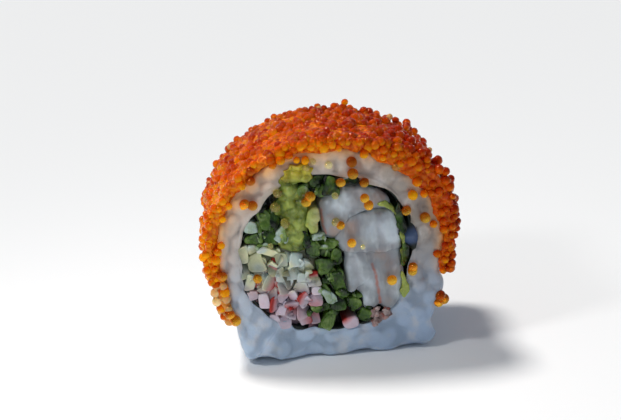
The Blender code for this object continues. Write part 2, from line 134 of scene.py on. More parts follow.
RICE_HALF_WIDTH = 19.9
RICE_TOP = 38.6
WIDEST_HEIGHT = 21.2
ARCH_REACH = 20.0
ARCH_STEP = 7.0
RIGHT_FOOT = ((15.6, 0.0), (17.4, 0.7), (18.4, 2.7), (17.1, 5.2), (18.6, 9.0))
LEFT_FOOT = ((-17.9, 9.0), (-17.0, 5.6), (-16.8, 3.0), (-16.0, 0.9), (-14.4, 0.0))
BORE_CENTRE = np.array((-0.6, 19.4))
BORE_HALF = np.array((15.6, 14.8))
BORE_SQUARENESS = 2.25
BULGE = {"height": 12.5, "half": 3.8, "out": 0.9}  # of the right flank, over the foot
RICE_COLUMNS = 560
RICE_ROWS = {"face": 26, "rim": 6, "wall": 80, "bore": 7}
RIM_RADIUS = 1.1
RICE_INSET = -0.05  # of the rice's own wall from the bore
LIP = 0.45  # how far the soft rice reaches in over the nori's edge, on average
LIP_SUNK = 0.35
# Where the lip reaches further: the angle and its spread in degrees, and how much further
LIP_REACHES = ((-16.0, 13.0, 1.0), (62.0, 16.0, 0.9), (140.0, 13.0, 1.3))
FOOT_HEIGHT = 3.0
FOOT_LOBE = 8.6  # width of one rounded lobe along the foot's front edge
FOOT_LOBE_START = -4.0
LOBE_RISE = 1.0
LOBE_REACH = 3.0  # how far in from a cut face the lobes show
TOE = {"at": (-12.0, 2.0), "half": (4.0, 3.8), "out": 2.6}  # rice pushed out at the left
GRAIN_HALF = (3.0, 1.5)  # half length and half width of a cooked grain
GRAIN_SPACING = 2.5
GRAIN_TRIES = 16000
GRAIN_LEAN = 0.7  # how nearly the grains lie along the surface: 0 at random, 1 flat
GRAIN_RELIEF = 0.75
GRAIN_LEVEL = 0.7  # the share of a grain's height that stays on the surface
# The wet knife and the mat smear the grains: what is left of them at the foot, the height
# where they start to stand out and how far they take to, and what a cut face loses
SMEAR = {"foot": 0.45, "start": 5.0, "rise": 7.0, "face": 0.3, "face depth": 1.5}
ROE_LEFT_END = 7.4
ROE_RIGHT_END = 14.6
STAIN_BOUNCE_START = 2.0  # how far below the blanket's ends the rice is stained by its juice and painted warm with light from the roe
STAIN_BOUNCE_RISE = 6.0
STAIN_BOUNCE_DEPTH = 2.8
STAIN_BOUNCE_LOW_LEFT = {"top": 29.0, "over": 10.0, "less": 1.9}
STAIN_BOUNCE_RIGHT = {"over": 12.0, "less": 1.3}
FLANK_SLOPE = 1.8  # how far the rice narrows from its widest height to its foot
# Painted light and shade: the left colour is lit, the right one shaded, and the two foot colours are a cool
# blue-grey painted shade.
RICE_COLOUR = {
    "left": (0.57, 0.51, 0.46),
    "right": (0.265, 0.24, 0.215),
    "cool shade foot left": (0.50, 0.62, 0.77),
    "cool shade foot right": (0.30, 0.41, 0.60),
    "bright": (0.68, 0.67, 0.68),
    "juice_and_bounce": (0.95, 0.46, 0.10),
    "crease": (0.25, 0.21, 0.20),
    "foot crease shade": (0.19, 0.26, 0.36),
}
# The waves that scatter a lattice point, and how finely their sine is cut up
SCATTER_WAVES = np.array((12.9898, 78.233, 37.719))
SCATTER_SEED = 5.31
SCATTER_CUT = 43758.5453


def run_lengths(line):
    """How far along a line each of its points lies: the sum of the steps up to it."""
    return np.concatenate([[0], np.cumsum(np.linalg.norm(np.diff(line, axis=0), axis=1))])


def even_loop(corners, count, passes):
    """Count points evenly spaced round a closed outline, averaged with their neighbours."""
    closed = np.concatenate([corners, corners[:1]])
    lengths = run_lengths(closed)
    even = np.linspace(0, lengths[-1], count, endpoint=False)
    loop = np.stack([np.interp(even, lengths, closed[:, k]) for k in (0, 1)], axis=1)
    for _ in range(passes):
        loop = (np.roll(loop, 1, axis=0) + 2 * loop + np.roll(loop, -1, axis=0)) / 4
    return loop


def outward(outline):
    """Unit normals of a closed anticlockwise outline."""
    along = np.roll(outline, -1, axis=0) - np.roll(outline, 1, axis=0)
    normal = np.stack([along[:, 1], -along[:, 0]], axis=1)
    return normal / np.linalg.norm(normal, axis=1, keepdims=True)


def rice_outline(count=RICE_COLUMNS, passes=8):
    """Half an ellipse over the widest height, on flanks that narrow to the foot."""
    angles = np.radians(np.arange(-ARCH_REACH, 180.0 + ARCH_REACH + 1.0, ARCH_STEP))
    rise = RICE_TOP - WIDEST_HEIGHT
    arch = np.stack(
        [RICE_HALF_WIDTH * np.cos(angles), WIDEST_HEIGHT + rise * np.sin(angles)], axis=1
    )
    outline = even_loop(np.concatenate([RIGHT_FOOT, arch, LEFT_FOOT]), count, passes)
    bulge = np.exp(-(((outline[:, 1] - BULGE["height"]) / BULGE["half"]) ** 2))
    outline[:, 0] += BULGE["out"] * bulge * (outline[:, 0] > 0)
    return outline


def set_back(flat, depth):
    """Points of the section plane, each an x and a z, set at these depths along the roll."""
    return np.stack([flat[..., 0], np.broadcast_to(depth, flat.shape[:-1]), flat[..., 1]], axis=-1)


def bore_level(points):
    """1 on the bore's superellipse, less inside it."""
    offset = np.abs((points - BORE_CENTRE) / BORE_HALF)
    return (offset**BORE_SQUARENESS).sum(axis=-1) ** (1 / BORE_SQUARENESS)


def bore_points(angles, inset):
    """Points of the bore's wall at these angles about its middle, moved in by inset."""
    way = np.stack([np.cos(angles), np.sin(angles)], axis=-1)
    reach = 1 / bore_level(way + BORE_CENTRE) - inset
    return BORE_CENTRE + way * reach[..., None]


def lumps(points, size, seed):
    """Smooth random heights from -1 to 1: one per cell of a lattice, blended between cells."""
    cell = points / size
    base = np.floor(cell)
    part = cell - base
    part = part * part * (3 - 2 * part)
    total = np.zeros(points.shape[:-1])
    for corner in itertools.product((0, 1), repeat=3):
        spot = base + corner
        mixed = np.sin(spot @ SCATTER_WAVES + seed * SCATTER_SEED) * SCATTER_CUT
        weight = np.prod(np.where(corner, part, 1 - part), axis=-1)
        total += weight * (2 * (mixed - np.floor(mixed)) - 1)
    return total


def rough_of(points, *layers):
    """The sum of several layers of lumps, each with its height, its size and its seed."""
    return sum(height * lumps(points, size, seed) for height, size, seed in layers)


def normals_of(grid, rows_wrap=False):
    """Outward unit normals of a grid, across the steps to its neighbours both ways."""
    across = np.roll(grid, -1, axis=1) - np.roll(grid, 1, axis=1)
    if rows_wrap:
        along = np.roll(grid, -1, axis=0) - np.roll(grid, 1, axis=0)
    else:
        along = np.gradient(grid, axis=0)
    normal = np.cross(along, across)
    return normal / np.maximum(np.linalg.norm(normal, axis=2, keepdims=True), 1e-9)


def grid_faces(rows, columns, rows_wrap, start=0):
    """The quads of a grid whose columns wrap, and the triangles round its two poles."""
    index = start + np.arange(rows * columns).reshape(rows, columns)
    ahead = np.roll(index, -1, axis=1)
    if rows_wrap:
        below = np.roll(index, -1, axis=0)
        return [np.stack([index, below, np.roll(below, -1, axis=1), ahead], -1).reshape(-1, 4)]
    quads = np.stack([index[:-1], index[1:], ahead[1:], ahead[:-1]], axis=-1).reshape(-1, 4)
    first = np.full(columns, start + rows * columns)
    caps = np.concatenate(
        [
            np.stack([first, index[0], ahead[0]], axis=-1),
            np.stack([first + 1, ahead[-1], index[-1]], axis=-1),
        ]
    )
    return [quads, caps]


def mesh_object(name, vertices, faces, marks):
    """An object from points in millimetres, arrays of quads and triangles, and float marks."""
    mesh = bpy.data.meshes.new(name)
    corners = np.concatenate([part.ravel() for part in faces])
    sizes = np.concatenate([np.full(len(part), part.shape[1]) for part in faces])
    mesh.vertices.add(len(vertices))
    mesh.vertices.foreach_set("co", (vertices * MM).astype(np.float32).ravel())
    mesh.loops.add(len(corners))
    mesh.polygons.add(len(sizes))
    starts = np.cumsum(sizes) - sizes
    mesh.polygons.foreach_set("loop_start", starts.astype(np.int32))
    mesh.loops.foreach_set("vertex_index", corners.astype(np.int32))
    for key, values in marks.items():
        mark = mesh.attributes.new(key, "FLOAT", "POINT")
        mark.data.foreach_set("value", values.astype(np.float32))
    mesh.update(calc_edges=True)
    mesh.validate()
    mesh.shade_smooth()
    obj = bpy.data.objects.new(name, mesh)
    bpy.context.scene.collection.objects.link(obj)
    return obj


def with_poles(values):
    """A grid's values as a list, followed by the means of its first and last rows."""
    flat = values.reshape(-1, *values.shape[2:])
    return np.concatenate([flat, [values[0].mean(axis=0), values[-1].mean(axis=0)]])


def join_grids(name, grids, marks):
    """One object from several closed grids, each with its own marks; every grid has poles."""
    vertices = []
    faces = []
    start = 0
    for grid in grids:
        vertices.append(with_poles(grid))
        faces.extend(grid_faces(*grid.shape[:2], False, start))
        start += grid.shape[0] * grid.shape[1] + 2
    joined = {key: np.concatenate([with_poles(part) for part in marks[key]]) for key in marks}
    return mesh_object(name, np.concatenate(vertices), faces, joined)


class Wire:
    """A shader socket. Arithmetic on it adds Math nodes, and add() adds any other node."""

    def __init__(self, tree, socket=None):
        self.tree = tree
        self.socket = socket

    def add(self, kind, settings=None, values=None, output=0):
        """Makes a node, sets its settings, then fills its sockets with numbers or wires."""
        node = self.tree.nodes.new(kind)
        for key, value in (settings or {}).items():
            if key == "stops":
                for stop, (place, colour) in zip(ramp_stops(node, len(value)), value):
                    stop.position = place
                    stop.color = (*colour, 1.0)
            else:
                setattr(node, key, value)
        for key, value in (values or {}).items():
            if isinstance(value, Wire):
                self.tree.links.new(value.socket, node.inputs[key])
            elif isinstance(value, tuple) and len(value) == 3 and node.inputs[key].type == "RGBA":
                node.inputs[key].default_value = (*value, 1.0)
            else:
                node.inputs[key].default_value = value
        return Wire(self.tree, node.outputs[output])

    def math(self, operation, first, second=0.0):
        """A Math node on two numbers or wires."""
        return self.add("ShaderNodeMath", {"operation": operation}, {0: first, 1: second})

    def __add__(self, other):
        return self.math("ADD", self, other)

    def __sub__(self, other):
        return self.math("SUBTRACT", self, other)

    def __rsub__(self, other):
        return self.math("SUBTRACT", other, self)

    def __mul__(self, other):
        return self.math("MULTIPLY", self, other)

    def __neg__(self):
        return self.math("SUBTRACT", 0.0, self)

    __radd__ = __add__
    __rmul__ = __mul__

    def place(self):
        """The point's place in the roll's own coordinates, in metres."""
        return self.add("ShaderNodeTexCoord", output="Object")

    def axis(self, index):
        """One coordinate of the place in metres: 0 for x, 1 for y and 2 for z."""
        return self.add("ShaderNodeSeparateXYZ", {}, {0: self.place()}, index)

    def mark(self, name):
        """The value that the piece's mesh carries under this name."""
        return self.add("ShaderNodeAttribute", {"attribute_name": name}, output="Fac")

    def noise(self, size, detail=3.0, stretch=(1.0, 1.0, 1.0)):
        """Cloudy values about 0.5, whose lumps are size millimetres wide."""
        scale = tuple(1 / (size * MM * way) for way in stretch)
        place = self.add("ShaderNodeMapping", {}, {"Vector": self.place(), "Scale": scale})
        return self.add("ShaderNodeTexNoise", {}, {"Vector": place, "Scale": 1.0, "Detail": detail})

    def step(self, value, low, high):
        """0 below low, 1 above high, and smooth between."""
        settings = {"interpolation_type": "SMOOTHSTEP"}
        return self.add("ShaderNodeMapRange", settings, {0: value, 1: low, 2: high})

    def blend(self, share, first, second):
        """The first colour where the share is 0, the second where it is 1."""
        return self.add("ShaderNodeMix", {"data_type": "RGBA"}, {0: share, 6: first, 7: second}, 2)

    def cover(self, colour, *layers):
        """Lays colours one after another over this one, each by its own share."""
        for share, layer in layers:
            colour = self.blend(share, colour, layer)
        return colour

    def bump(self, height, depth):
        """A normal for relief depth millimetres deep."""
        values = {"Height": height, "Distance": depth * MM, "Strength": 1.0}
        return self.add("ShaderNodeBump", {}, values)


def ramp_stops(node, count):
    """The stops of a colour ramp, with more added to make this count."""
    while len(node.color_ramp.elements) < count:
        node.color_ramp.elements.new(0.5)
    return node.color_ramp.elements


def new_finish(name, constants):
    """A material, its Principled shader with these constants, and a wire to build on."""
    made = bpy.data.materials.new(name)
    made.use_nodes = True
    shader = made.node_tree.nodes["Principled BSDF"]
    for key, value in constants.items():
        shader.inputs[key].default_value = value
    return made, shader, Wire(made.node_tree)


def feed(shader, wires):
    """Links wires to the shader's sockets."""
    for key, wire in wires.items():
        wire.tree.links.new(wire.socket, shader.inputs[key])


def wet(radius, share, roughness):
    """The constants of moist food that light sinks into, red furthest."""
    return {
        "Roughness": roughness,
        "Subsurface Weight": share,
        "Subsurface Radius": (1.0, 0.75, 0.6),
        "Subsurface Scale": radius * MM,
        "IOR": 1.38,
    }


def install(obj, finish, slot, *nodes):
    """Gives the object its finish, ties it to the roll and hides the solids it stands for."""
    obj.data.materials.append(finish)
    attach(obj, "root")
    if nodes:
        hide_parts(*nodes)


def floor_sheet():
    """One square face, level with the foot of the rice."""
    half = FLOOR_HALF_SIZE
    corners = np.array([(-half, -half, 0), (half, -half, 0), (half, half, 0), (-half, half, 0)])
    floor = mesh_object("floor", corners, [np.array([(0, 1, 2, 3)])], {})
    floor.data.materials.append(new_finish("pale floor", FLOOR_LOOK)[0])


floor_sheet()


def rice_grid():
    """Rows go out over the front face, back along the wall, in over the back face and home.

    A point of a face lies between the bore and the outline at the same angle. Rims are
    quarter circles, larger in the hollows between the foot's lobes.
    """
    outer = rice_outline()
    normal = outward(outer)
    offset = outer - BORE_CENTRE
    angles = np.arctan2(offset[:, 1], offset[:, 0])
    reach = rough_of(set_back(outer, 0.0), (0.35, 3.0, 3))
    for angle, spread, further in LIP_REACHES:
        reach += further * np.exp(-(((np.degrees(angles) - angle) / spread) ** 2))
    lip = bore_points(angles, LIP + reach)
    bore = bore_points(angles, RICE_INSET)
    low = np.clip(1 - outer[:, 1] / FOOT_HEIGHT, 0, 1)
    hollow = low * np.abs(np.cos(np.pi * (outer[:, 0] - FOOT_LOBE_START) / FOOT_LOBE)) ** 3
    rim = RIM_RADIUS + LOBE_RISE * hollow
    edge = outer - normal * rim[:, None]
    share = np.linspace(0, 1, RICE_ROWS["face"])[:, None, None]
    face = lip + (edge - lip) * share
    swing = np.linspace(0, np.pi / 2, RICE_ROWS["rim"] + 1)[1:, None]
    turned = edge + normal * (rim * np.sin(swing))[..., None]
    sunk = rim * (1 - np.cos(swing))
    count = RICE_ROWS["wall"]
    wall_share = np.linspace(0, 1, count + 2)[1:-1, None]
    wall_y = (FRONT + rim) * (1 - 2 * wall_share)
    front_y = FRONT + LIP_SUNK * (1 - share[..., 0]) ** 3 * np.ones(len(outer))
    inner = np.broadcast_to(bore, (RICE_ROWS["bore"],) + bore.shape)
    inner_y = np.linspace(-FRONT, FRONT, RICE_ROWS["bore"] + 2)[1:-1, None] * np.ones(len(outer))
    flat = np.concatenate(
        [face, turned, np.broadcast_to(outer, (count,) + outer.shape), turned[::-1], face[::-1], inner]
    )
    depth = np.concatenate(
        [front_y, FRONT + sunk, wall_y, (-FRONT - sunk)[::-1], -front_y, inner_y]
    )
    near_end = np.clip((np.abs(depth) + FRONT + LOBE_REACH) / LOBE_REACH, 0, 1) ** 2
    toe = np.exp(-(((flat - TOE["at"]) / TOE["half"]) ** 2).sum(axis=-1))
    depth = depth + TOE["out"] * toe * near_end * np.sign(depth)
    flat[..., 1] += LOBE_RISE * (low * hollow) * near_end
    return set_back(flat, depth)


def scatter(places, spacing, count, random):
    """Picks of a list of places, no two closer than spacing, from count random tries."""
    kept = []
    for place in places[random.integers(0, len(places), count)]:
        if not kept or np.min(np.linalg.norm(np.array(kept) - place, axis=1)) > spacing:
            kept.append(place)
    return np.array(kept)


def grain_relief(grid, normal, random):
    """How proud each point is: the height of the tallest grain, half an ellipsoid, over it."""
    points = grid.reshape(-1, 3)
    centres = scatter(points, GRAIN_SPACING, GRAIN_TRIES, random)
    relief = np.zeros(len(points))
    for centre in centres:
        near = np.flatnonzero(np.abs(points - centre).max(axis=1) < GRAIN_HALF[0])
        way = random.normal(size=3)
        facing = normal.reshape(-1, 3)[near[0]]
        way -= GRAIN_LEAN * facing * (way @ facing)
        way /= np.linalg.norm(way)
        half_length = GRAIN_HALF[0] * random.uniform(0.6, 1.0)
        half_width = GRAIN_HALF[1] * random.uniform(0.9, 1.15)
        offset = points[near] - centre
        run = offset @ way
        aside = (offset**2).sum(axis=1) - run**2
        level = 1 - (run / half_length) ** 2 - aside / half_width**2
        height = np.sqrt(np.clip(level, 0, 1)) * random.uniform(0.75, 1.0)
        relief[near] = np.maximum(relief[near], height)
    return relief.reshape(grid.shape[:2])


def blurred(values, passes):
    """Averages a wrapped grid of values with its neighbours."""
    for _ in range(passes):
        for axis in (0, 1):
            values = (np.roll(values, 1, axis) + 2 * values + np.roll(values, -1, axis)) / 4
    return values


def roe_cover(points):
    """1 where the blanket of roe lies near, fading below its ends and away from the rim."""
    end = np.where(points[..., 0] > 0, ROE_RIGHT_END, ROE_LEFT_END)
    above = np.clip((points[..., 2] - end + STAIN_BOUNCE_START) / STAIN_BOUNCE_RISE, 0, 1)
    flat = points[..., [0, 2]] - (0.0, WIDEST_HEIGHT)
    half = np.array((RICE_HALF_WIDTH, RICE_TOP - WIDEST_HEIGHT))
    arch = np.linalg.norm(flat / half, axis=-1)
    flank_width = RICE_HALF_WIDTH - FLANK_SLOPE * (1 - points[..., 2] / WIDEST_HEIGHT)
    level = np.where(flat[..., 1] > 0, arch, np.abs(points[..., 0]) / flank_width)
    inside = (1 - level) * RICE_HALF_WIDTH
    low_left = np.clip((STAIN_BOUNCE_LOW_LEFT["top"] - points[..., 2]) / STAIN_BOUNCE_LOW_LEFT["over"], 0, 1)
    right = np.clip(points[..., 0] / STAIN_BOUNCE_RIGHT["over"], 0, 1)
    depth = STAIN_BOUNCE_DEPTH - STAIN_BOUNCE_LOW_LEFT["less"] * low_left * (points[..., 0] < 0)
    return above * np.exp(-np.clip(inside, 0, None) / (depth - STAIN_BOUNCE_RIGHT["less"] * right))


def make_rice():
    """The ring with its grains raised on it, less so low down and on the cut faces."""
    grid = rice_grid()
    normal = normals_of(grid, rows_wrap=True)
    random = np.random.default_rng(5)
    relief = blurred(grain_relief(grid, normal, random), 2)
    bore_rows = np.arange(len(grid)) >= len(grid) - RICE_ROWS["bore"]
    near_bore = bore_level(grid[..., [0, 2]]) < 0.99
    free = np.where(bore_rows[:, None] | near_bore, 0.0, 1.0)
    rough = rough_of(grid, (0.35, 4.0, 1), (0.05, 1.3, 2))
    above_foot = np.clip((grid[..., 2] - SMEAR["start"]) / SMEAR["rise"], 0, 1)
    in_face = (np.abs(grid[..., 1]) + FRONT + SMEAR["face depth"]) / SMEAR["face depth"]
    kept = SMEAR["foot"] + (1 - SMEAR["foot"]) * above_foot
    kept = kept * (1 - SMEAR["face"] * np.clip(in_face, 0, 1))
    raised = GRAIN_RELIEF * (relief - GRAIN_LEVEL) * kept + rough
    grid = grid + normal * (raised * free)[..., None]
    grid[..., 2] = np.maximum(grid[..., 2], 0.0)
    rice = mesh_object(
        "rice_ring",
        grid.reshape(-1, 3),
        grid_faces(*grid.shape[:2], True),
        {"crease": 1 - relief.ravel(), "stain": roe_cover(grid).ravel()},
    )
    finish, shader, wire = new_finish("sticky rice", wet(1.2, 0.5, 0.32))
    cloud = wire.noise(3.0)
    height = wire.axis(2) * (1 / (RICE_TOP * MM))
    aside = wire.axis(0) * (1 / (RICE_HALF_WIDTH * MM))
    # Painted cool shade: the rice turns blue-grey towards its foot, darker to the right.
    low = 1 - wire.step(height + (cloud - 0.5) * 0.2, 0.1, 0.62)
    # Painted shade: the rice darkens towards the right.
    aside = wire.step(aside + (cloud - 0.5) * 0.3, -0.1, 0.8) * 0.8
    # Painted shade in the creases between the grains.
    crease = wire.step(wire.mark("crease"), 0.25, 0.95)
    # Stain and painted light: the rice is orange near the roe, partly from its juice and partly painted
    # warm light thrown from the roe.
    stain = wire.step(wire.mark("stain") + (cloud - 0.5) * 0.6, 0.08, 0.85)
    foot = wire.blend(aside * 0.6, RICE_COLOUR["cool shade foot left"], RICE_COLOUR["cool shade foot right"])
    colour = wire.cover(
        RICE_COLOUR["left"],
        (aside, RICE_COLOUR["right"]),
        (low, foot),
        (wire.step(cloud, 0.48, 0.72) * 0.55, RICE_COLOUR["bright"]),
        (stain * 0.8, RICE_COLOUR["juice_and_bounce"]),
        (crease * 0.4, wire.blend(low, RICE_COLOUR["crease"], RICE_COLOUR["foot crease shade"])),
    )
    bump = wire.bump(wire.noise(0.9) * 0.7 + cloud, 0.22)
    feed(shader, {"Base Color": colour, "Normal": bump, "Roughness": 0.26 + cloud * 0.2})
    install(rice, finish, "rice", "rice")


make_rice()

# --- Nori -----------------------------------------------------------------------------------
# One sheet of dried seaweed, softened by the rice, rolled into a ring between rice and filling.
# Its last stretch is tucked in as a thick dark fold at the right, with a painted blue sky reflection.

NORI_GAP = 0.3
NORI_THICKNESS = 0.4
NORI_SET_BACK = 0.45  # the soft rice bulges a little past the sheet's edge
NORI_COLUMNS = 360
NORI_STEPS = 9  # rows along each side of the sheet
FOLD = {"angle": 8.5, "spread": 7.0, "out": 0.5, "in": 1.8, "proud": 0.7}
NORI_COLOUR = {"dark": (0.004, 0.007, 0.006), "fibre": (0.02, 0.03, 0.024), "fold": (0.06, 0.10, 0.20)}


def make_nori():
    """The sheet's edge is a thin loop: out side front to back, then in side back to front."""
    angles = np.linspace(0, 2 * np.pi, NORI_COLUMNS, endpoint=False)
    from_fold = np.degrees(angles) - FOLD["angle"]
    from_fold = (from_fold + 180) % 360 - 180
    bump = np.exp(-((from_fold / FOLD["spread"]) ** 2))
    outer = bore_points(angles, NORI_GAP - FOLD["out"] * bump)
    inner = bore_points(angles, NORI_GAP + NORI_THICKNESS + FOLD["in"] * bump)
    steps = np.linspace(-1, 1, NORI_STEPS)
    flat = np.concatenate([[outer] * NORI_STEPS, [inner] * NORI_STEPS])
    half_length = LENGTH / 2 - NORI_SET_BACK
    grid = set_back(flat, np.concatenate([steps, steps[::-1]])[:, None] * half_length)
    ragged = rough_of(grid, (0.2, 2.5, 8)) * (1 - bump)
    at_edge = np.abs(grid[..., 1]) > half_length - 0.1
    grid[..., 1] += (ragged + FOLD["proud"] * bump * np.sign(grid[..., 1])) * at_edge
    faces = grid_faces(*grid.shape[:2], True)
    marks = {"fold": np.tile(bump, 2 * NORI_STEPS)}
    nori = mesh_object("nori_sheet", grid.reshape(-1, 3), faces, marks)
    finish, shader, wire = new_finish("damp seaweed", {"Roughness": 0.32, "IOR": 1.4})
    fibre = wire.noise(0.7, stretch=(1, 3, 1))
    # Painted reflection: the fold is coloured blue as if it reflected the sky.
    fold = wire.step(wire.mark("fold"), 0.3, 0.8)
    colour = wire.cover(NORI_COLOUR["dark"], (fibre, NORI_COLOUR["fibre"]), (fold, NORI_COLOUR["fold"]))
    feed(shader, {"Base Color": colour, "Normal": wire.bump(fibre, 0.12)})
    install(nori, finish, "nori", "nori")


make_nori()

# --- Shrimp ---------------------------------------------------------------------------------
# Cooked shrimp tails laid along the roll, so that the cut shows plump white lobes pressed
# together, with soft folds, a pink skin line, a dark red vein line and a ragged end.

SHRIMP = {
    "upper_lobe": {
        "node": "shrimp_upper",
        "outline": (
            (-2.0, 28.0), (-1.9, 26.4), (-1.5, 24.2), (-1.1, 22.4), (0.7, 21.6), (1.8, 23.4),
            (2.8, 25.2), (5.4, 26.2), (8.0, 26.7), (11.0, 26.8), (10.3, 28.7), (8.6, 30.4),
            (5.2, 31.5), (2.4, 31.3), (0.2, 30.3), (-1.3, 29.2),
        ),
        "proud": 0.5,
    },
    "middle_lobe": {
        "node": "shrimp_middle",
        "outline": (
            (0.6, 22.0), (1.2, 20.4), (2.2, 19.4), (6.0, 18.4), (10.0, 18.4), (12.6, 19.4),
            (12.6, 21.4), (12.2, 23.8), (11.3, 26.8), (8.0, 27.2), (5.4, 26.7), (2.6, 25.7),
            (1.5, 24.0),
        ),
        "proud": 1.1,
    },
    "lower_lobe": {
        "node": "shrimp_lower",
        "outline": (
            (2.0, 21.2), (2.4, 18.6), (2.1, 15.4), (2.2, 13.2), (2.7, 11.6), (3.3, 11.7),
            (3.9, 12.4), (4.6, 11.8), (5.3, 11.0), (5.3, 9.8), (5.1, 8.7), (6.1, 7.8),
            (7.2, 7.8), (8.0, 9.1), (8.7, 8.4), (9.6, 7.8), (10.8, 8.2), (11.6, 9.4),
            (12.4, 11.5), (12.7, 14.0), (12.6, 17.5), (12.3, 21.2), (9.0, 21.6), (5.0, 21.6),
        ),
        "proud": 0.6,
    },
}
SHRIMP_COLUMNS = 180
SHRIMP_RIM = 1.2
SHRIMP_DOME = 0.9
SIDE_ROWS = (-0.93, -0.8, 0.8, 0.93)  # the rows along a strip's side, from end to end
END_REACH = 2.5  # how far along a strip the shaping of its end goes
PINK_WIDTH = 0.36
FOLD_WIDTH = 0.8
FOLD_DEPTH = 0.25
SHRIMP_COLOUR = {
    "shade": (0.30, 0.33, 0.36),
    "flesh": (0.62, 0.69, 0.75),
    "brown": (0.36, 0.27, 0.24),
    "ridge": (0.66, 0.73, 0.77),
    "groove_shade": (0.26, 0.27, 0.28),
    "fold": (0.28, 0.27, 0.30),
    "pink": (0.46, 0.15, 0.10),
}
# The skin lines and the vein line of the lobes' ends
PINK_LINES = (
    ((-1.5, 27.6), (-1.35, 26.0), (-1.15, 24.6), (-0.7, 23.2)),
    ((7.0, 17.0), (7.5, 15.4), (7.7, 14.0), (7.8, 12.8)),
    ((7.9, 12.6), (8.1, 11.0), (8.2, 9.6)),
)
# Where a lobe's end is dented, with painted shade in the dents
FOLDS = (
    ((4.6, 31.4), (4.9, 29.0), (4.2, 26.8)),
    ((8.6, 26.6), (8.2, 24.0), (8.8, 20.6)),
    ((4.9, 25.6), (5.0, 22.8), (5.2, 18.4)),
    ((9.6, 20.0), (11.0, 20.1), (12.8, 20.4)),
    ((6.6, 19.6), (7.1, 17.3), (7.4, 15.6), (7.7, 14.0), (8.2, 11.4), (8.3, 9.0)),
    ((10.4, 18.6), (10.3, 15.0), (9.8, 11.4)),
    ((3.9, 18.0), (4.2, 15.0), (4.6, 12.4)),
)
# Patches of the lobes' ends: x, z, half width, and brighter (above 0) or browner
PATCHES = (
    (2.8, 28.0, 2.0, 1.0), (8.6, 23.8, 2.6, 1.0), (11.4, 21.6, 1.4, 0.9), (7.0, 13.8, 1.1, 1.0),
    (4.0, 17.6, 1.7, 0.7), (5.9, 10.6, 1.2, 0.6), (10.6, 12.2, 1.3, 0.5), (3.8, 24.4, 1.7, -1.0),
    (8.8, 29.4, 1.6, -0.7), (10.2, 16.0, 1.8, -0.8), (0.6, 23.4, 1.0, -0.9), (7.8, 19.2, 1.8, -0.7),
    (0.9, 26.2, 1.3, -0.4), (3.4, 13.6, 1.2, 0.4), (9.4, 10.2, 1.3, -0.6), (3.3, 20.4, 1.1, -0.7),
)


def strip_grid(outline, half_length, rim, dome, rows=22):
    """A strip with this section. Each end is a dome that rolls over a round rim.

    An end's rows lie at shares of the way from its middle to the outline. The dome falls
    with the square of the share, and the rim is a quarter circle of this radius.
    """
    middle = outline.mean(axis=0)
    size = np.linalg.norm(outline - middle, axis=1).mean()
    share = np.sin(np.linspace(0.04, 1, rows) * np.pi / 2)
    past = np.clip((share - 1 + rim / size) / (rim / size), 0, 1)
    sunk = rim * (1 - np.sqrt(1 - past**2)) - dome * (1 - share**2)
    side = np.array(SIDE_ROWS) * (half_length - rim)
    shares = np.concatenate([share, np.ones(len(side)), share[::-1]])
    depth = np.concatenate([sunk - half_length, side, (half_length - sunk)[::-1]])
    return set_back(middle + (outline - middle) * shares[:, None, None], depth[:, None])


def line_distance(points, line):
    """How far points of the section plane are from a line of several stretches."""
    best = np.full(points.shape[:-1], 1e9)
    for start, end in zip(np.array(line[:-1]), np.array(line[1:])):
        run = end - start
        share = np.clip(((points - start) @ run) / (run @ run), 0, 1)
        gap = np.linalg.norm(points - start - share[..., None] * run, axis=-1)
        best = np.minimum(best, gap)
    return best


def near_lines(points, lines, width):
    """1 on any of these lines, fading over the width."""
    return np.max([np.exp(-((line_distance(points, line) / width) ** 2)) for line in lines], axis=0)


def end_weight(grid):
    """1 on the two cut ends of a strip, 0 a little way along it."""
    return np.clip((np.abs(grid[..., 1]) - LENGTH / 2 + END_REACH) / END_REACH, 0, 1)


def raised_ends(grid, height):
    """The strip with its two ends raised by this height, outward along their normals."""
    return grid + normals_of(grid) * (height * end_weight(grid))[..., None]


def make_lobe(name, finish):
    """A lobe is a domed strip, dented along its folds and softly lumpy all over."""
    sizes = SHRIMP[name]
    outline = even_loop(np.array(sizes["outline"]), SHRIMP_COLUMNS, 9)
    half_length = LENGTH / 2 + sizes["proud"] - SHRIMP_DOME
    grid = strip_grid(outline, half_length, SHRIMP_RIM, SHRIMP_DOME, 40)
    flat = grid[..., [0, 2]]
    dent = near_lines(flat, FOLDS, FOLD_WIDTH)
    pink = near_lines(flat, PINK_LINES, PINK_WIDTH)
    rough = rough_of(grid, (0.12, 1.6, 21), (0.4, 3.6, 22))
    grid = raised_ends(grid, rough - FOLD_DEPTH * dent)
    patch = np.zeros(dent.shape)
    for x, z, half, strength in PATCHES:
        patch += strength * np.exp(-(((flat - (x, z)) / half) ** 2).sum(axis=-1))
    marks = {"pink": [pink], "dent": [np.clip(dent, 0, 1)], "patch": [patch]}
    install(join_grids(name, [grid], marks), finish, "shrimp", sizes["node"])


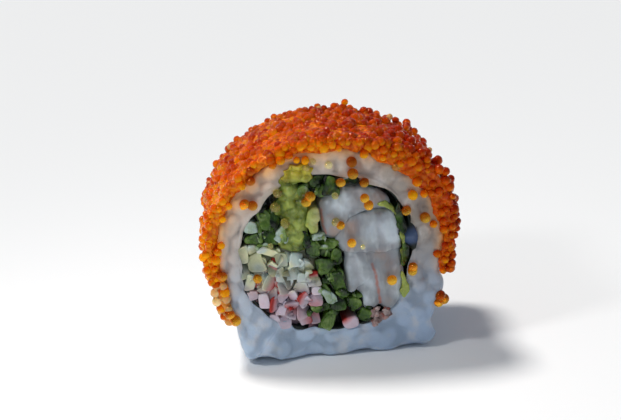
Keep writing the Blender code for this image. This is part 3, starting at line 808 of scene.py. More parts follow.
def shrimp_finish():
    """White muscle with painted shade in its folds and grooves, a warm blush in patches and pink lines."""
    finish, shader, wire = new_finish("cooked shrimp", wet(1.8, 0.5, 0.22))
    patch = wire.noise(2.6, 2.0)
    fine = wire.noise(0.9, 2.0)
    ridge = wire.noise(1.5, 1.0, stretch=(0.8, 1.0, 2.0))
    pink = wire.step(wire.mark("pink") + (fine - 0.5) * 1.3, 0.25, 1.15)
    shade = wire.mark("patch") + (patch - 0.5) * 1.6 + (fine - 0.5) * 0.5
    colour = wire.cover(
        SHRIMP_COLOUR["shade"],
        (wire.step(shade, -0.3, 1.2), SHRIMP_COLOUR["flesh"]),
        (wire.step(-shade, 0.1, 1.1) * 0.9, SHRIMP_COLOUR["brown"]),
        (wire.step(ridge, 0.52, 0.75) * 0.4, SHRIMP_COLOUR["ridge"]),
        # Painted shade in the grooves of the relief and in the dented folds.
        ((1 - wire.step(ridge, 0.28, 0.47)) * 0.2, SHRIMP_COLOUR["groove_shade"]),
        (wire.mark("dent") * 0.4, SHRIMP_COLOUR["fold"]),
        (pink * 0.75, SHRIMP_COLOUR["pink"]),
    )
    feed(shader, {"Base Color": colour, "Normal": wire.bump(ridge + patch, 0.22)})
    return finish


shrimp_look = shrimp_finish()
for lobe in SHRIMP:
    make_lobe(lobe, shrimp_look)

# The ragged end of the lower shrimp: torn flakes of skin and meat in front of the nori
TAIL_FLAKES = 26
TAIL_LINE = ((7.2, 8.6), (7.9, 7.2), (6.8, 5.8))
TAIL_SIDE = ((8.2, 7.6), (10.0, 7.5))
TAIL_COLOUR = {"dark": (0.20, 0.12, 0.11), "light": (0.56, 0.44, 0.42), "red": (0.42, 0.10, 0.07)}


def ball_grid(columns, rows):
    """A unit sphere as a grid without its poles, front to back along Y."""
    down = np.linspace(0, np.pi, rows + 2)[1:-1, None]
    angles = np.linspace(0, 2 * np.pi, columns, endpoint=False)
    ring = np.sin(down)
    flat = np.stack([ring * np.cos(angles), ring * np.sin(angles)], axis=-1)
    return set_back(flat, -np.cos(down))


def random_turns(count, random):
    """Rotation matrices spread evenly over all turns, from random unit quaternions."""
    q = random.normal(size=(count, 4))
    w, x, y, z = (q / np.linalg.norm(q, axis=1, keepdims=True)).T
    rows = (
        (1 - 2 * (y * y + z * z), 2 * (x * y - z * w), 2 * (x * z + y * w)),
        (2 * (x * y + z * w), 1 - 2 * (x * x + z * z), 2 * (y * z - x * w)),
        (2 * (x * z - y * w), 2 * (y * z + x * w), 1 - 2 * (x * x + y * y)),
    )
    return np.array(rows).transpose(2, 0, 1)


def nuggets(places, halves, turns, lump, seed, columns=18, rows=10):
    """Ellipsoids at these places, each swollen and dented by a lump's share of its size."""
    ball = ball_grid(columns, rows)[None]
    apart = np.arange(len(places))[:, None, None, None] * 7.7
    shaped = ball * (1 + lump * lumps(ball * 1.3 + apart, 1.0, seed))[..., None]
    shaped = shaped * halves[:, None, None, :]
    return np.einsum("nij,nrcj->nrci", turns, shaped) + places[:, None, None, :]


def tones(grids, values):
    """One value over each whole grid."""
    return [np.full(grid.shape[:2], value) for grid, value in zip(grids, values)]


def along_line(line, share):
    """Points at these shares of the way through a line, each of its stretches counting alike."""
    stops = np.linspace(0, 1, len(line))
    return np.stack([np.interp(share, stops, part) for part in zip(*line)], axis=-1)


def make_tail():
    """Flakes strewn along two lines, two on the first for each one on the second."""
    random = np.random.default_rng(31)
    share = random.random(TAIL_FLAKES)
    on_first = np.arange(TAIL_FLAKES)[:, None] % 3 > 0
    flat = np.where(on_first, along_line(TAIL_LINE, share), along_line(TAIL_SIDE, share))
    flat = flat + random.normal(0, 0.3, flat.shape)
    places = set_back(flat, FRONT - random.uniform(0.0, 0.6, TAIL_FLAKES))
    halves = random.uniform((0.4, 0.3, 0.3), (0.9, 0.55, 0.7), (TAIL_FLAKES, 3))
    grids = nuggets(places, halves, random_turns(TAIL_FLAKES, random), 0.5, 3)
    tail = join_grids("shrimp_tail", grids, {"tone": tones(grids, random.random(TAIL_FLAKES))})
    finish, shader, wire = new_finish("shrimp skin", wet(0.8, 0.3, 0.35))
    cloud = wire.noise(0.9)
    colour = wire.cover(
        TAIL_COLOUR["dark"],
        (wire.mark("tone"), TAIL_COLOUR["light"]),
        (wire.step(cloud, 0.5, 0.7) * 0.6, TAIL_COLOUR["red"]),
    )
    feed(shader, {"Base Color": colour, "Normal": wire.bump(cloud, 0.15)})
    install(tail, finish, "shrimp")


make_tail()

# --- Avocado --------------------------------------------------------------------------------
# Ripe avocado, mashed by rolling into a soft yellow-green column that spills over the nori
# on to the rice, with a paler firm slice beside it and a bright sliver at the right.

MASH = (
    (-7.3, 34.5), (-8.4, 33.2), (-8.2, 31.0), (-8.8, 29.6), (-9.7, 28.7), (-9.4, 27.2),
    (-8.3, 26.4), (-8.2, 25.0), (-9.3, 24.4), (-9.5, 22.2), (-8.4, 20.8), (-5.8, 20.0),
    (-4.1, 20.6), (-3.8, 23.0), (-3.9, 26.0), (-3.4, 28.6), (-4.1, 30.4), (-5.0, 32.2), (-5.5, 34.4),
)
SPILL = (
    (-8.2, 33.6), (-7.0, 32.9), (-5.8, 32.3), (-4.6, 32.8), (-3.4, 32.6), (-2.4, 33.4),
    (-2.9, 34.2), (-2.2, 35.0), (-3.4, 35.3), (-4.2, 36.1), (-5.2, 35.6), (-6.3, 36.0),
    (-6.6, 35.2), (-7.6, 35.0), (-7.3, 34.2),
)
MASH_SUNK = 0.45
LUMP_RISE = 1.25
OILY = {"from": 32.6, "over": 1.8}  # heights between which the spilled part turns yellow
# Lumps of both: x, z, half width, half height, how far they rise, and paleness
MASH_LUMPS = (
    (-6.5, 31.3, 1.0, 1.2, 0.9, 0.9), (-7.3, 32.9, 1.0, 0.8, 0.6, 0.3), (-6.9, 28.9, 0.9, 1.0, 1.0, 0.8),
    (-6.0, 27.5, 1.2, 0.9, 0.9, 0.6), (-4.8, 27.3, 0.8, 1.4, 0.7, 0.35), (-5.2, 25.2, 1.1, 1.2, 0.9, 0.85),
    (-6.9, 26.7, 0.9, 1.1, 0.9, 0.5), (-5.6, 22.9, 1.3, 1.2, 0.9, 0.9), (-6.7, 24.3, 0.9, 0.9, 0.8, 0.45),
    (-6.5, 21.2, 1.1, 0.8, 0.7, 0.35), (-4.8, 20.9, 0.9, 0.9, 0.4, 0.0), (-8.9, 28.6, 0.8, 0.8, 0.7, 0.2),
    (-8.8, 27.5, 0.7, 0.7, 0.6, 0.35), (-4.4, 29.1, 0.9, 0.9, 0.7, 0.6), (-7.7, 21.4, 0.8, 0.8, 0.6, 0.6),
    (-8.4, 23.6, 0.9, 1.3, 0.9, 1.0), (-5.3, 30.3, 0.9, 0.8, 0.6, 0.55), (-7.6, 30.2, 0.7, 0.7, 0.6, 0.5),
    (-6.9, 34.0, 1.1, 0.8, 0.8, 0.4), (-5.4, 34.0, 1.2, 0.8, 0.9, 0.7), (-5.0, 35.3, 1.0, 0.6, 0.7, 0.75),
    (-3.6, 34.6, 0.9, 0.7, 0.7, 0.95), (-4.1, 33.4, 0.9, 0.6, 0.7, 0.7), (-6.5, 35.4, 0.8, 0.5, 0.5, 0.5),
)
AVOCADO_SLICE = (-2.9, 25.7, 2.5, 4.6, -4)  # x, z, width, height and tilt
SLICE_TONE = (1.3, 0.25)  # in its middle, and more for each millimetre to the right
AVOCADO_EDGE = (
    ((8.2, 27.8), (9.6, 28.5), (10.8, 27.5), (11.7, 25.8), (11.4, 25.5), (10.4, 26.9), (9.4, 27.3)),
    ((11.9, 15.2), (12.3, 15.4), (13.1, 13.4), (13.3, 11.4), (12.4, 10.2), (11.7, 11.6), (12.2, 13.4)),
    ((11.9, 23.0), (12.3, 23.2), (12.9, 20.4), (12.5, 20.0), (12.2, 21.2)),
    ((12.0, 19.4), (12.6, 19.4), (12.7, 16.4), (12.1, 16.2)),
)
EDGE_TONES = (0.6, 0.8, 0.55, 0.15)
BLOCK_SKEW = 0.22  # how far a cut strip's section is out of true, at most
AVOCADO_COLOUR = {
    "dark": (0.045, 0.08, 0.006),
    "green": (0.37, 0.46, 0.11),
    "cream": (0.50, 0.50, 0.26),
    "olive": (0.42, 0.38, 0.03),
    "oil": (0.66, 0.48, 0.02),
}


def avocado_finish():
    """Dark green to light with the tone, creamy past 1, and yellow where it is oily."""
    finish, shader, wire = new_finish("ripe avocado", wet(1.5, 0.55, 0.24))
    cloud = wire.noise(1.6)
    fine = wire.noise(0.5)
    tone = wire.mark("tone")
    colour = wire.cover(
        AVOCADO_COLOUR["dark"],
        (wire.step(tone + (cloud - 0.5) * 1.1, 0.05, 1.0), AVOCADO_COLOUR["green"]),
        (wire.step(tone + (cloud - 0.5) * 0.6, 1.0, 1.6) * 0.85, AVOCADO_COLOUR["cream"]),
        (wire.step(fine, 0.5, 0.72) * 0.35, AVOCADO_COLOUR["olive"]),
        (wire.mark("oil") * 0.5, AVOCADO_COLOUR["oil"]),
    )
    feed(shader, {"Base Color": colour, "Normal": wire.bump(cloud + fine * 0.6, 0.28)})
    return finish


avocado_look = avocado_finish()


def block_outline(block, square, random, columns, uneven=0.06):
    """A cut strip's section: a superellipse, skewed and wavering a little, turned by its tilt."""
    x, z, width, height, tilt = block[:5]
    angles = np.linspace(0, 2 * np.pi, columns, endpoint=False)
    wave = np.stack([np.cos(angles), np.sin(angles)], axis=1)
    unit = np.sign(wave) * np.abs(wave) ** (2 / square)
    skew = random.uniform(-BLOCK_SKEW, BLOCK_SKEW, 2)
    unit = unit * (1 + skew * unit[:, ::-1])
    phase = random.uniform(0, 2 * np.pi, 2)
    waver = 1 + uneven * (np.sin(2 * angles + phase[0]) + np.sin(3 * angles + phase[1]))
    flat = unit * waver[:, None] * np.array((width, height)) / 2
    turn = math.radians(tilt)
    across = np.array([[math.cos(turn), math.sin(turn)], [-math.sin(turn), math.cos(turn)]])
    return even_loop(flat @ across + (x, z), columns, 0)


def merge_lumps(grid, table):
    """How far soft lumps raise each point, the highest one winning, and their paleness there."""
    flat = grid[..., [0, 2]]
    rise = np.zeros(flat.shape[:2])
    pale = np.full(flat.shape[:2], 0.02)
    total = np.full(flat.shape[:2], 0.1)
    for x, z, half_width, half_height, proud, paleness in table:
        level = (((flat - (x, z)) / (half_width, half_height)) ** 2).sum(axis=-1)
        weight = np.exp(-0.8 * level)
        rise = np.maximum(rise, proud * weight)
        pale += weight**2 * paleness
        total += weight**2
    return rise, pale / total


def make_mash():
    """Both ends of a strip are raised by lumps, and so is a shallow patch on the rice."""
    outline = even_loop(np.array(MASH), 170, 3)
    mash = strip_grid(outline, LENGTH / 2 - MASH_SUNK, 0.4, 0.0, 44)
    outline = even_loop(np.array(SPILL), 110, 3)
    spill = strip_grid(outline, 0.35, 0.33, 0.0, 30)
    spill[..., 1] += FRONT + 0.2
    for name, grid, sides, nodes in (
        ("avocado_mash", mash, end_weight(mash), ("avocado",)),
        ("avocado_spill", spill, (spill[..., 1] < FRONT) * 1.0, ()),
    ):
        rise, pale = merge_lumps(grid, MASH_LUMPS)
        oily = np.clip((grid[..., 2] - OILY["from"]) / OILY["over"], 0, 1)
        rough = rough_of(grid, (0.32, 0.9, 41), (0.2, 0.5, 42))
        grid[..., 1] += (LUMP_RISE * rise + rough) * sides * np.sign(grid[..., 1])
        install(join_grids(name, [grid], {"tone": [pale], "oil": [oily]}), avocado_look, "avocado", *nodes)


def make_avocado_strips():
    """A block-shaped strip, then four thin ones along the right wall, all with lumpy ends."""
    random = np.random.default_rng(45)
    outline = block_outline(AVOCADO_SLICE, 2.5, random, 60, 0.08)
    grid = strip_grid(outline, LENGTH / 2 + 0.1, 0.35, 0.15)
    grid = raised_ends(grid, rough_of(grid, (0.4, 1.0, 46)))
    tone = SLICE_TONE[0] + SLICE_TONE[1] * (grid[..., 0] - AVOCADO_SLICE[0])
    piece = join_grids("avocado_pale_slice", [grid], {"tone": [tone]})
    install(piece, avocado_look, "avocado", "avocado_slice")
    grids = []
    for corners in AVOCADO_EDGE:
        outline = even_loop(np.array(corners)[::-1], 70, 6)
        grid = strip_grid(outline, LENGTH / 2 + 0.3, 0.25, 0.2)
        grids.append(raised_ends(grid, rough_of(grid, (0.3, 0.9, 47))))
    piece = join_grids("avocado_sliver", grids, {"tone": tones(grids, EDGE_TONES)})
    install(piece, avocado_look, "avocado", "avocado_edge")


make_mash()
make_avocado_strips()

# --- Greens ---------------------------------------------------------------------------------
# Cucumber cut in matchsticks and folded lettuce leaf, packed along the roll. Flesh and veins
# are pale and wet, skin and leaf dark.

# Each strip's section and end: x, z, width, height, tilt, how far proud, and darkness
GREENS = {
    "stick_1": ("cucumber_1", (
        (-11.1, 26.3, 2.4, 3.4, 8, -0.2, 0.5), (-9.3, 26.4, 1.9, 3.2, -4, 0.0, 0.85),
        (-11.3, 27.9, 1.6, 1.2, 30, -0.6, 0.95),
    )),
    "stick_2": ("cucumber_2", (
        (-13.4, 25.1, 2.2, 1.7, -10, 0.0, 0.02), (-13.3, 23.0, 2.6, 2.1, 12, -0.1, 0.6),
        (-12.0, 23.4, 1.3, 1.7, 10, 0.15, 0.25),
    )),
    "stick_3": ("cucumber_3", (
        (-1.9, 32.5, 2.8, 1.8, 14, -0.2, 0.8), (0.4, 31.5, 2.4, 2.9, -10, 0.1, 0.72),
        (-1.0, 30.7, 2.0, 1.8, 35, 0.0, 0.6), (-2.5, 31.3, 1.6, 1.6, 0, -0.5, 0.98),
        (3.4, 32.3, 4.4, 1.4, -4, -0.3, 0.9), (6.9, 31.3, 2.8, 1.0, -14, -0.4, 0.85),
    )),
    "stick_4": ("cucumber_4", ((-4.4, 31.1, 2.1, 2.0, 18, 0.3, 0.3),)),
    "stick_5": ("cucumber_5", (
        (-0.8, 11.6, 1.5, 3.5, 33, 0.5, 0.02), (0.9, 9.9, 2.6, 2.6, 15, -0.1, 0.85),
        (-1.4, 9.6, 1.4, 1.8, 10, -0.2, 0.75),
    )),
    "stick_6": ("cucumber_6", ((-1.1, 6.8, 2.2, 3.0, -22, 0.5, 0.42), (-3.0, 9.4, 2.1, 1.2, -6, 0.5, 0.5))),
    "stick_7": ("cucumber_7", ((3.8, 9.8, 2.2, 2.4, 12, 0.2, 0.52), (5.4, 7.7, 2.0, 2.4, -18, 0.4, 0.6))),
    "stick_8": ("cucumber_8", (
        (-10.4, 23.4, 2.5, 2.5, 5, 0.1, 0.68), (-8.4, 23.5, 1.9, 2.6, 18, 0.3, 0.2),
        (-11.2, 21.9, 2.4, 1.1, 4, 0.3, 0.22),
    )),
    "leaf_curl": ("lettuce_1", (
        (-4.2, 22.3, 1.4, 2.9, 24, 0.3, 0.95), (-3.1, 20.5, 2.2, 2.8, -18, 0.5, 0.66),
        (-2.2, 22.6, 2.1, 1.2, -8, 0.5, 0.0), (-0.5, 21.4, 3.4, 1.3, -6, 0.2, 0.5),
    )),
    "leaf_middle": ("lettuce_2", (
        (-1.2, 17.2, 2.7, 2.9, 4, 0.2, 0.6), (0.8, 19.0, 2.0, 3.4, -4, 0.1, 0.52),
        (-1.1, 19.7, 1.8, 2.4, 8, -0.1, 0.7), (-0.9, 19.6, 0.5, 1.7, -12, 0.1, 0.3),
    )),
    "leaf_low": ("lettuce_3", (
        (0.9, 13.8, 2.5, 4.6, 14, 0.1, 0.64), (-0.2, 15.1, 1.1, 1.7, -10, 0.35, 0.4),
        (1.6, 11.9, 1.6, 1.8, 20, 0.3, 0.72), (-1.2, 14.5, 1.4, 1.4, 0, -0.3, 0.9),
    )),
    "leaf_edge": ("lettuce_edge", (
        (12.1, 24.6, 1.5, 4.6, 16, 0.2, 0.85), (13.0, 18.4, 1.2, 4.6, -2, -0.1, 0.75),
    )),
}
# The strip behind each one: how much wider and higher, how far back, how much darker as
# painted shade, and the darkest that this painted shade goes
BEHIND = {"wider": 1.25, "higher": 1.2, "back": 0.8, "painted_shade": 0.3, "darkest_painted_shade": 0.92}
# Smaller strips beside each one: how many, how far aside, their share of its size, and how
# much that share and their turn vary
BETWEEN = {"count": 2, "aside": 0.55, "width": 0.5, "height": 0.45, "vary": 0.15, "turn": 40}
GREENS_ROOM = 0.84  # the share of the bore that the smaller ones keep to
GREENS_SLOPE = 0.45  # how steeply a strip's end leans, at most
PALE_RIND = 0.15  # strips no darker than this are pale right through
EDGE_CONTRAST = 0.2  # between a strip's middle and its paler or darker side
# Colours from the palest flesh to the darkest skin
LEAF_GREEN = (
    (0.0, (0.42, 0.53, 0.48)), (0.3, (0.18, 0.28, 0.07)), (0.55, (0.07, 0.14, 0.020)),
    (0.8, (0.026, 0.064, 0.010)), (1.0, (0.003, 0.008, 0.003)),
)


def greens_finish():
    """A ramp from flesh to skin, clouded and veined."""
    finish, shader, wire = new_finish("wet greens", wet(1.0, 0.35, 0.17))
    cloud = wire.noise(1.3)
    vein = wire.noise(0.6, 2.0, stretch=(0.6, 1.0, 1.8))
    tone = wire.mark("tone") + (cloud - 0.5) * 0.7 + (vein - 0.5) * 0.3
    colour = wire.add("ShaderNodeValToRGB", {"stops": LEAF_GREEN}, {0: tone})
    feed(shader, {"Base Color": colour, "Normal": wire.bump(cloud + vein, 0.15)})
    return finish


greens_look = greens_finish()


def sloped_end(grid, strip, slope, random):
    """Tilts a strip's ends by up to this slope, and returns its points about their middle."""
    flat = grid[..., [0, 2]] - strip[:2]
    grid[..., 1] += flat @ random.uniform(-slope, slope, 2) * end_weight(grid)
    return flat


def share_across(flat, strip, random):
    """-1 at one side of a strip to 1 at the other, on a line turned at random."""
    way = random.normal(size=2)
    return flat / (strip[2] / 2, strip[3] / 2) @ (way / np.linalg.norm(way))


def make_greens(name, seed):
    """A piece is a few strips side by side, smaller ones between them, and one behind, painted darker as
    shade.

    The ends of the strips slope, and one side of each is paler.
    """
    random = np.random.default_rng(seed)
    node, blocks = GREENS[name]
    strips = []
    for x, z, width, height, tilt, proud, dark in blocks:
        # Painted shade: the strip behind is darker than the one in front.
        shade = min(dark + BEHIND["painted_shade"], BEHIND["darkest_painted_shade"])
        back = (width * BEHIND["wider"], height * BEHIND["higher"], tilt, proud - BEHIND["back"], shade)
        strips.append((x, z, *back))
        strips.append((x, z, width, height, tilt, proud, dark))
        for _ in range(BETWEEN["count"]):
            aside, up, grow, turn, sink, shade = random.uniform(-1, 1, 6)
            spot = np.array((x + BETWEEN["aside"] * width * aside, z + BETWEEN["aside"] * height * up))
            if bore_level(spot) < GREENS_ROOM:
                strips.append((
                    *spot,
                    width * (BETWEEN["width"] + BETWEEN["vary"] * grow),
                    height * (BETWEEN["height"] + BETWEEN["vary"] * grow),
                    tilt + BETWEEN["turn"] * turn,
                    proud - 0.1 + 0.3 * sink,
                    np.clip(dark + 0.3 * shade, 0, 0.95),
                ))
    grids = []
    darks = []
    for strip in strips:
        outline = block_outline(strip, random.uniform(2.2, 4.2), random, 40, 0.09)
        grid = strip_grid(outline, LENGTH / 2 + strip[5], 0.25, random.uniform(0.0, 0.25), 12)
        flat = sloped_end(grid, strip, GREENS_SLOPE, random)
        grids.append(raised_ends(grid, rough_of(grid, (0.2, 0.9, seed))))
        across = share_across(flat, strip, random)
        darks.append(strip[6] - EDGE_CONTRAST * across * (strip[6] > PALE_RIND) + 0.03)
    slot = "cucumber" if "stick" in name else "lettuce"
    install(join_grids(name, grids, {"tone": darks}), greens_look, slot, node)


for index, name in enumerate(GREENS):
    make_greens(name, 70 + index)

# --- Crab stick -----------------------------------------------------------------------------
# Crab stick of pressed fish, pulled into square white shreds that are red where they were
# the stick's skin. A heap of them fills the lower left, and one end shows at the bottom.

# Each shred's section and end: x, z, width, height, tilt, how far proud, brightness, then
# how much of it is red and the way that its red side faces, in degrees. The lowest
# brightnesses are painted shade on shreds set back in shadow.
SHREDS = (
    (-15.0, 20.2, 1.5, 3.2, 6, 0.0, 0.55, 0.0, 0), (-13.4, 21.0, 1.7, 1.7, 10, -0.2, 0.6, 0.0, 0),
    (-10.7, 20.5, 3.6, 1.7, -28, 0.5, 0.95, 0.0, 0), (-13.0, 18.7, 3.0, 2.8, 12, 0.1, 0.55, 0.0, 0),
    (-10.1, 17.9, 2.9, 1.4, 62, 0.35, 0.1, 1.5, 60), (-8.7, 18.8, 1.9, 2.7, 5, 0.0, 0.65, 0.0, 0),
    (-6.2, 18.7, 2.2, 2.1, -15, 0.35, 1.0, 0.0, 0), (-4.6, 17.4, 2.1, 2.4, 15, 0.0, 0.6, 0.0, 0),
    (-15.0, 17.0, 1.5, 2.2, 10, -0.4, 0.4, 0.0, 0), (-14.3, 15.0, 1.7, 3.0, -14, 0.1, 0.7, 0.0, 0),
    (-12.4, 16.2, 2.1, 2.6, -20, -0.1, 0.5, 0.2, 300), (-10.8, 15.0, 2.2, 3.0, -30, 0.4, 0.5, 0.8, 330),
    (-9.0, 16.1, 1.7, 2.6, 4, 0.3, 0.75, 0.15, 180), (-7.1, 16.2, 2.6, 2.4, -8, 0.1, 0.65, 0.0, 0),
    (-4.9, 15.2, 2.5, 2.0, -14, 0.3, 0.8, 0.0, 0), (-3.2, 15.7, 1.5, 1.2, 0, 0.4, 0.3, 1.4, 90),
    (-3.2, 14.4, 2.2, 1.5, 8, 0.1, 0.65, 0.0, 0), (-10.9, 12.9, 2.4, 2.1, 12, 0.0, 0.55, 0.35, 120),
    (-8.3, 13.9, 2.5, 2.1, 0, 0.1, 0.5, 0.0, 0), (-5.5, 13.5, 2.8, 1.8, -10, 0.2, 0.65, 0.0, 0),
    (-2.9, 12.9, 1.6, 1.4, -5, 0.7, 1.2, 0.0, 0), (-14.0, 12.8, 1.7, 1.6, 10, 0.2, 0.75, 0.3, 90),
    (-12.2, 11.6, 1.7, 2.9, 6, 0.5, 1.0, 0.0, 0), (-10.2, 10.9, 2.0, 2.9, 8, 0.4, 0.6, 1.1, 165),
    (-8.8, 12.2, 2.0, 1.7, 30, 0.3, 0.75, 0.5, 60), (-7.0, 12.1, 1.6, 2.3, 20, 0.4, 0.9, 0.25, 200),
    (-7.3, 10.3, 2.4, 1.8, -4, 0.4, 0.6, 0.95, 250), (-5.2, 11.5, 2.3, 2.1, 25, 0.6, 0.85, 1.05, 140),
    (-3.0, 11.1, 2.4, 1.8, -6, 0.2, 0.8, 0.45, 260), (-9.0, 9.9, 1.3, 2.5, -28, 0.5, 1.1, 0.0, 0),
    (-13.6, 10.6, 1.8, 2.0, 30, -0.7, 0.15, 0.0, 0), (-11.6, 8.9, 2.4, 1.5, -20, -0.7, 0.15, 0.0, 0),
    (-10.5, 7.8, 1.8, 1.9, 20, 0.1, 0.9, 0.0, 0), (-8.7, 7.4, 2.5, 1.9, 10, 0.3, 0.95, 0.0, 0),
    (-7.5, 8.7, 2.3, 1.6, -20, 0.0, 0.75, 0.6, 80), (-5.3, 8.9, 2.7, 1.9, -8, 0.2, 0.65, 0.2, 180),
    (-5.1, 7.3, 2.1, 1.8, 20, 0.0, 0.75, 0.7, 0), (-3.4, 7.7, 1.9, 1.8, 6, -0.1, 0.65, 0.6, 90),
    (-3.6, 6.2, 1.9, 1.7, 0, -0.4, 0.2, 0.25, 90),
)
HEAP = (-8.9, 13.7, 12.2, 15.6, 12)  # the core between the shreds' ends, back from them
HEAP_BACK = 1.3
# The core's low tone is painted shade in the gaps between the shreds.
HEAP_SHADE_TONE = 0.1
SMALL_SHREDS = 60
SMALL_REACH = 0.46  # of the heap's width and height, out from its middle
RED_HEIGHT = {"top": 17.5, "over": 9.0, "most": 0.7}  # more small ones are red lower down
CRAB_ROOM = 0.86  # the share of the bore that the small ones keep to
CRAB_SLOPE = 0.85
SHRED_BACK = 0.35
TIP = (3.0, 6.2, 2.9, 2.0, 14)  # x, z, width, height and tilt of the end at the bottom
TIP_RED = {"x": 2.6, "z": 6.5, "lean": 0.7, "rise": 0.9}  # the skin on its upper left side
CRAB_COLOUR = {
    "lilac shade": (0.10, 0.06, 0.08),
    "lilac": (0.70, 0.59, 0.68),
    "mint": (0.67, 0.78, 0.73),
    "butter": (0.82, 0.83, 0.53),
    "cream shade": (0.09, 0.10, 0.05),
    "pink": (0.64, 0.24, 0.26),
    "red": (0.40, 0.028, 0.022),
}
CREAM_HEIGHT = (11.5 * MM, 16 * MM)  # between these the heap goes from lilac to cream


def small_shreds(random):
    """Shreds between the others, a little behind them, with more red ones lower down."""
    angle = random.uniform(0, 2 * np.pi, SMALL_SHREDS)
    reach = 0.9 * np.sqrt(random.random(SMALL_SHREDS))
    x = HEAP[0] + SMALL_REACH * HEAP[2] * reach * np.cos(angle)
    z = HEAP[1] + SMALL_REACH * HEAP[3] * reach * np.sin(angle)
    width, height = random.uniform((1.0, 1.3), (1.8, 2.6), (SMALL_SHREDS, 2)).T
    chance = np.clip((RED_HEIGHT["top"] - z) / RED_HEIGHT["over"], 0, RED_HEIGHT["most"])
    red = np.where(random.random(SMALL_SHREDS) < chance, 1.0, 0.0)
    return np.stack([
        x, z, width, height, random.uniform(-40, 40, SMALL_SHREDS),
        random.uniform(-0.7, 0.35, SMALL_SHREDS), random.uniform(0.1, 1.25, SMALL_SHREDS),
        red, random.uniform(0, 360, SMALL_SHREDS),
    ], axis=1)


def make_shreds():
    """Each shred is a square strip. Red fades in from the side where its skin was."""
    random = np.random.default_rng(82)
    core = block_outline(HEAP, 2.2, random, 80)
    grids = [strip_grid(core, LENGTH / 2 - HEAP_BACK, 0.5, 0.0, 12)]
    red = tones(grids, [0.0])
    tone = tones(grids, [HEAP_SHADE_TONE])
    small = small_shreds(random)
    small = small[bore_level(small[:, :2]) < CRAB_ROOM]
    for shred in np.concatenate([SHREDS, small]):
        width, height, _, proud, bright, amount, way = shred[2:]
        outline = block_outline(shred, random.uniform(3.5, 7.0), random, 24, 0.08)
        grid = strip_grid(outline, LENGTH / 2 - SHRED_BACK + proud, 0.1, 0.0, 8)
        flat = sloped_end(grid, shred, CRAB_SLOPE, random)
        grids.append(raised_ends(grid, rough_of(grid, (0.1, 1.0, 83))))
        facing = np.array((math.cos(math.radians(way)), math.sin(math.radians(way))))
        level = (flat @ facing) / (0.5 * min(width, height))
        red.append(amount * np.clip(0.5 + 0.75 * level, 0.0, 1.2))
        tone.append(1.15 * bright - 0.1 + 0.2 * share_across(flat, shred, random))
    heap = join_grids("crab_heap", grids, {"red": red, "tone": tone})
    install(heap, crab_look, "crab", "crab_shreds")
    outline = block_outline(TIP, 3.0, random, 60)
    grid = strip_grid(outline, LENGTH / 2 + 0.2, 0.3, 0.15, 18)
    past = grid[..., 2] - TIP_RED["z"] + TIP_RED["lean"] * (TIP_RED["x"] - grid[..., 0])
    red = [np.clip(0.2 + TIP_RED["rise"] * past, 0, 1.1)]
    tip = join_grids("crab_tip", [grid], {"red": red, "tone": tones([grid], [1.0])})
    install(tip, crab_look, "crab", "crab_end")


def crab_finish():
    """White fish paste, lilac low in the heap and cream towards its top."""
    finish, shader, wire = new_finish("crab stick", wet(1.3, 0.5, 0.32))
    cloud = wire.noise(1.1)
    fibre = wire.noise(0.5, stretch=(1, 6, 1))
    high = wire.step(wire.axis(2) + (cloud - 0.5) * (4 * MM), *CREAM_HEIGHT)
    bright = wire.mark("tone") + (cloud - 0.5) * 0.35
    hue = wire.step(wire.noise(4.0, 1.0), 0.4, 0.6)
    cream = wire.blend(hue, CRAB_COLOUR["mint"], CRAB_COLOUR["butter"])
    red = wire.mark("red") + (cloud - 0.5) * 0.7
    colour = wire.cover(
        wire.blend(bright, CRAB_COLOUR["lilac shade"], CRAB_COLOUR["lilac"]),
        (high, wire.blend(bright, CRAB_COLOUR["cream shade"], cream)),
        (wire.step(red, -0.05, 0.75) * 0.8, CRAB_COLOUR["pink"]),
        (wire.step(red, 0.55, 1.1), CRAB_COLOUR["red"]),
    )
    feed(shader, {"Base Color": colour, "Normal": wire.bump(fibre + cloud * 0.4, 0.08)})
    return finish


crab_look = crab_finish()
make_shreds()

# --- Roe ------------------------------------------------------------------------------------
# Flying-fish roe: firm translucent eggs under 2 mm, rolled on in a thick uneven blanket over
# the top and sides. They stick by their own juice, and stray ones lie on the front cut face.

EGG = 1.75
SMALL_EGG = 0.7
BLANKET_EGG = 1.55  # only part of each packed egg shows
EGG_PITCH = 1.5
NET_ROW = 0.87  # rows of a triangular net lie this share of the pitch apart
BED = (-0.7, 1.75)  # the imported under-layer, out from the rice
BED_ROWS = 420
BED_COLUMNS = 64
BED_DROP = 0.55  # where the blanket is thick, so that its top eggs stand clear
SKIRT_LOW = -0.9  # how far down over a cut face the under-layer hangs, give or take
SKIRT_LIFT = ((0.55, 0.66), (0.0, 0.8))  # shares of the line, and how much less there
SKIRT_APART = 50.0  # between the lumps of one face and of the other
ROE_RISE = (1.35, 2.0)  # how far out the middles of the two layers of eggs lie
ROE_JITTER = 0.45
ROE_TAPER = 5.0  # the blanket thins to nothing over this length at its right end
LEFT_TAPER = {"bed": 1.9, "eggs": 1.7}  # and over this many times as much at its left
# The blanket's thickness along its line, from its right edge over the top to its left edge
THICKNESS = (
    (0.0, 0.06, 0.12, 0.2, 0.27, 0.33, 0.42, 0.6, 0.8, 1.0),
    (0.8, 0.85, 1.25, 1.7, 1.6, 1.25, 0.7, 0.72, 0.9, 0.95),
)
# Painted light: how bright the eggs of the blanket are at shares of its line, and those on the cut faces;
# darker towards the right end
LAYER_GLOW = ((0.0, 0.2, 0.45, 0.7, 0.9), (-0.55, -0.38, 0.0, 0.12, 0.46))
LAP_GLOW = ((0.1, 0.4, 0.8), (-0.22, 0.0, 0.12))
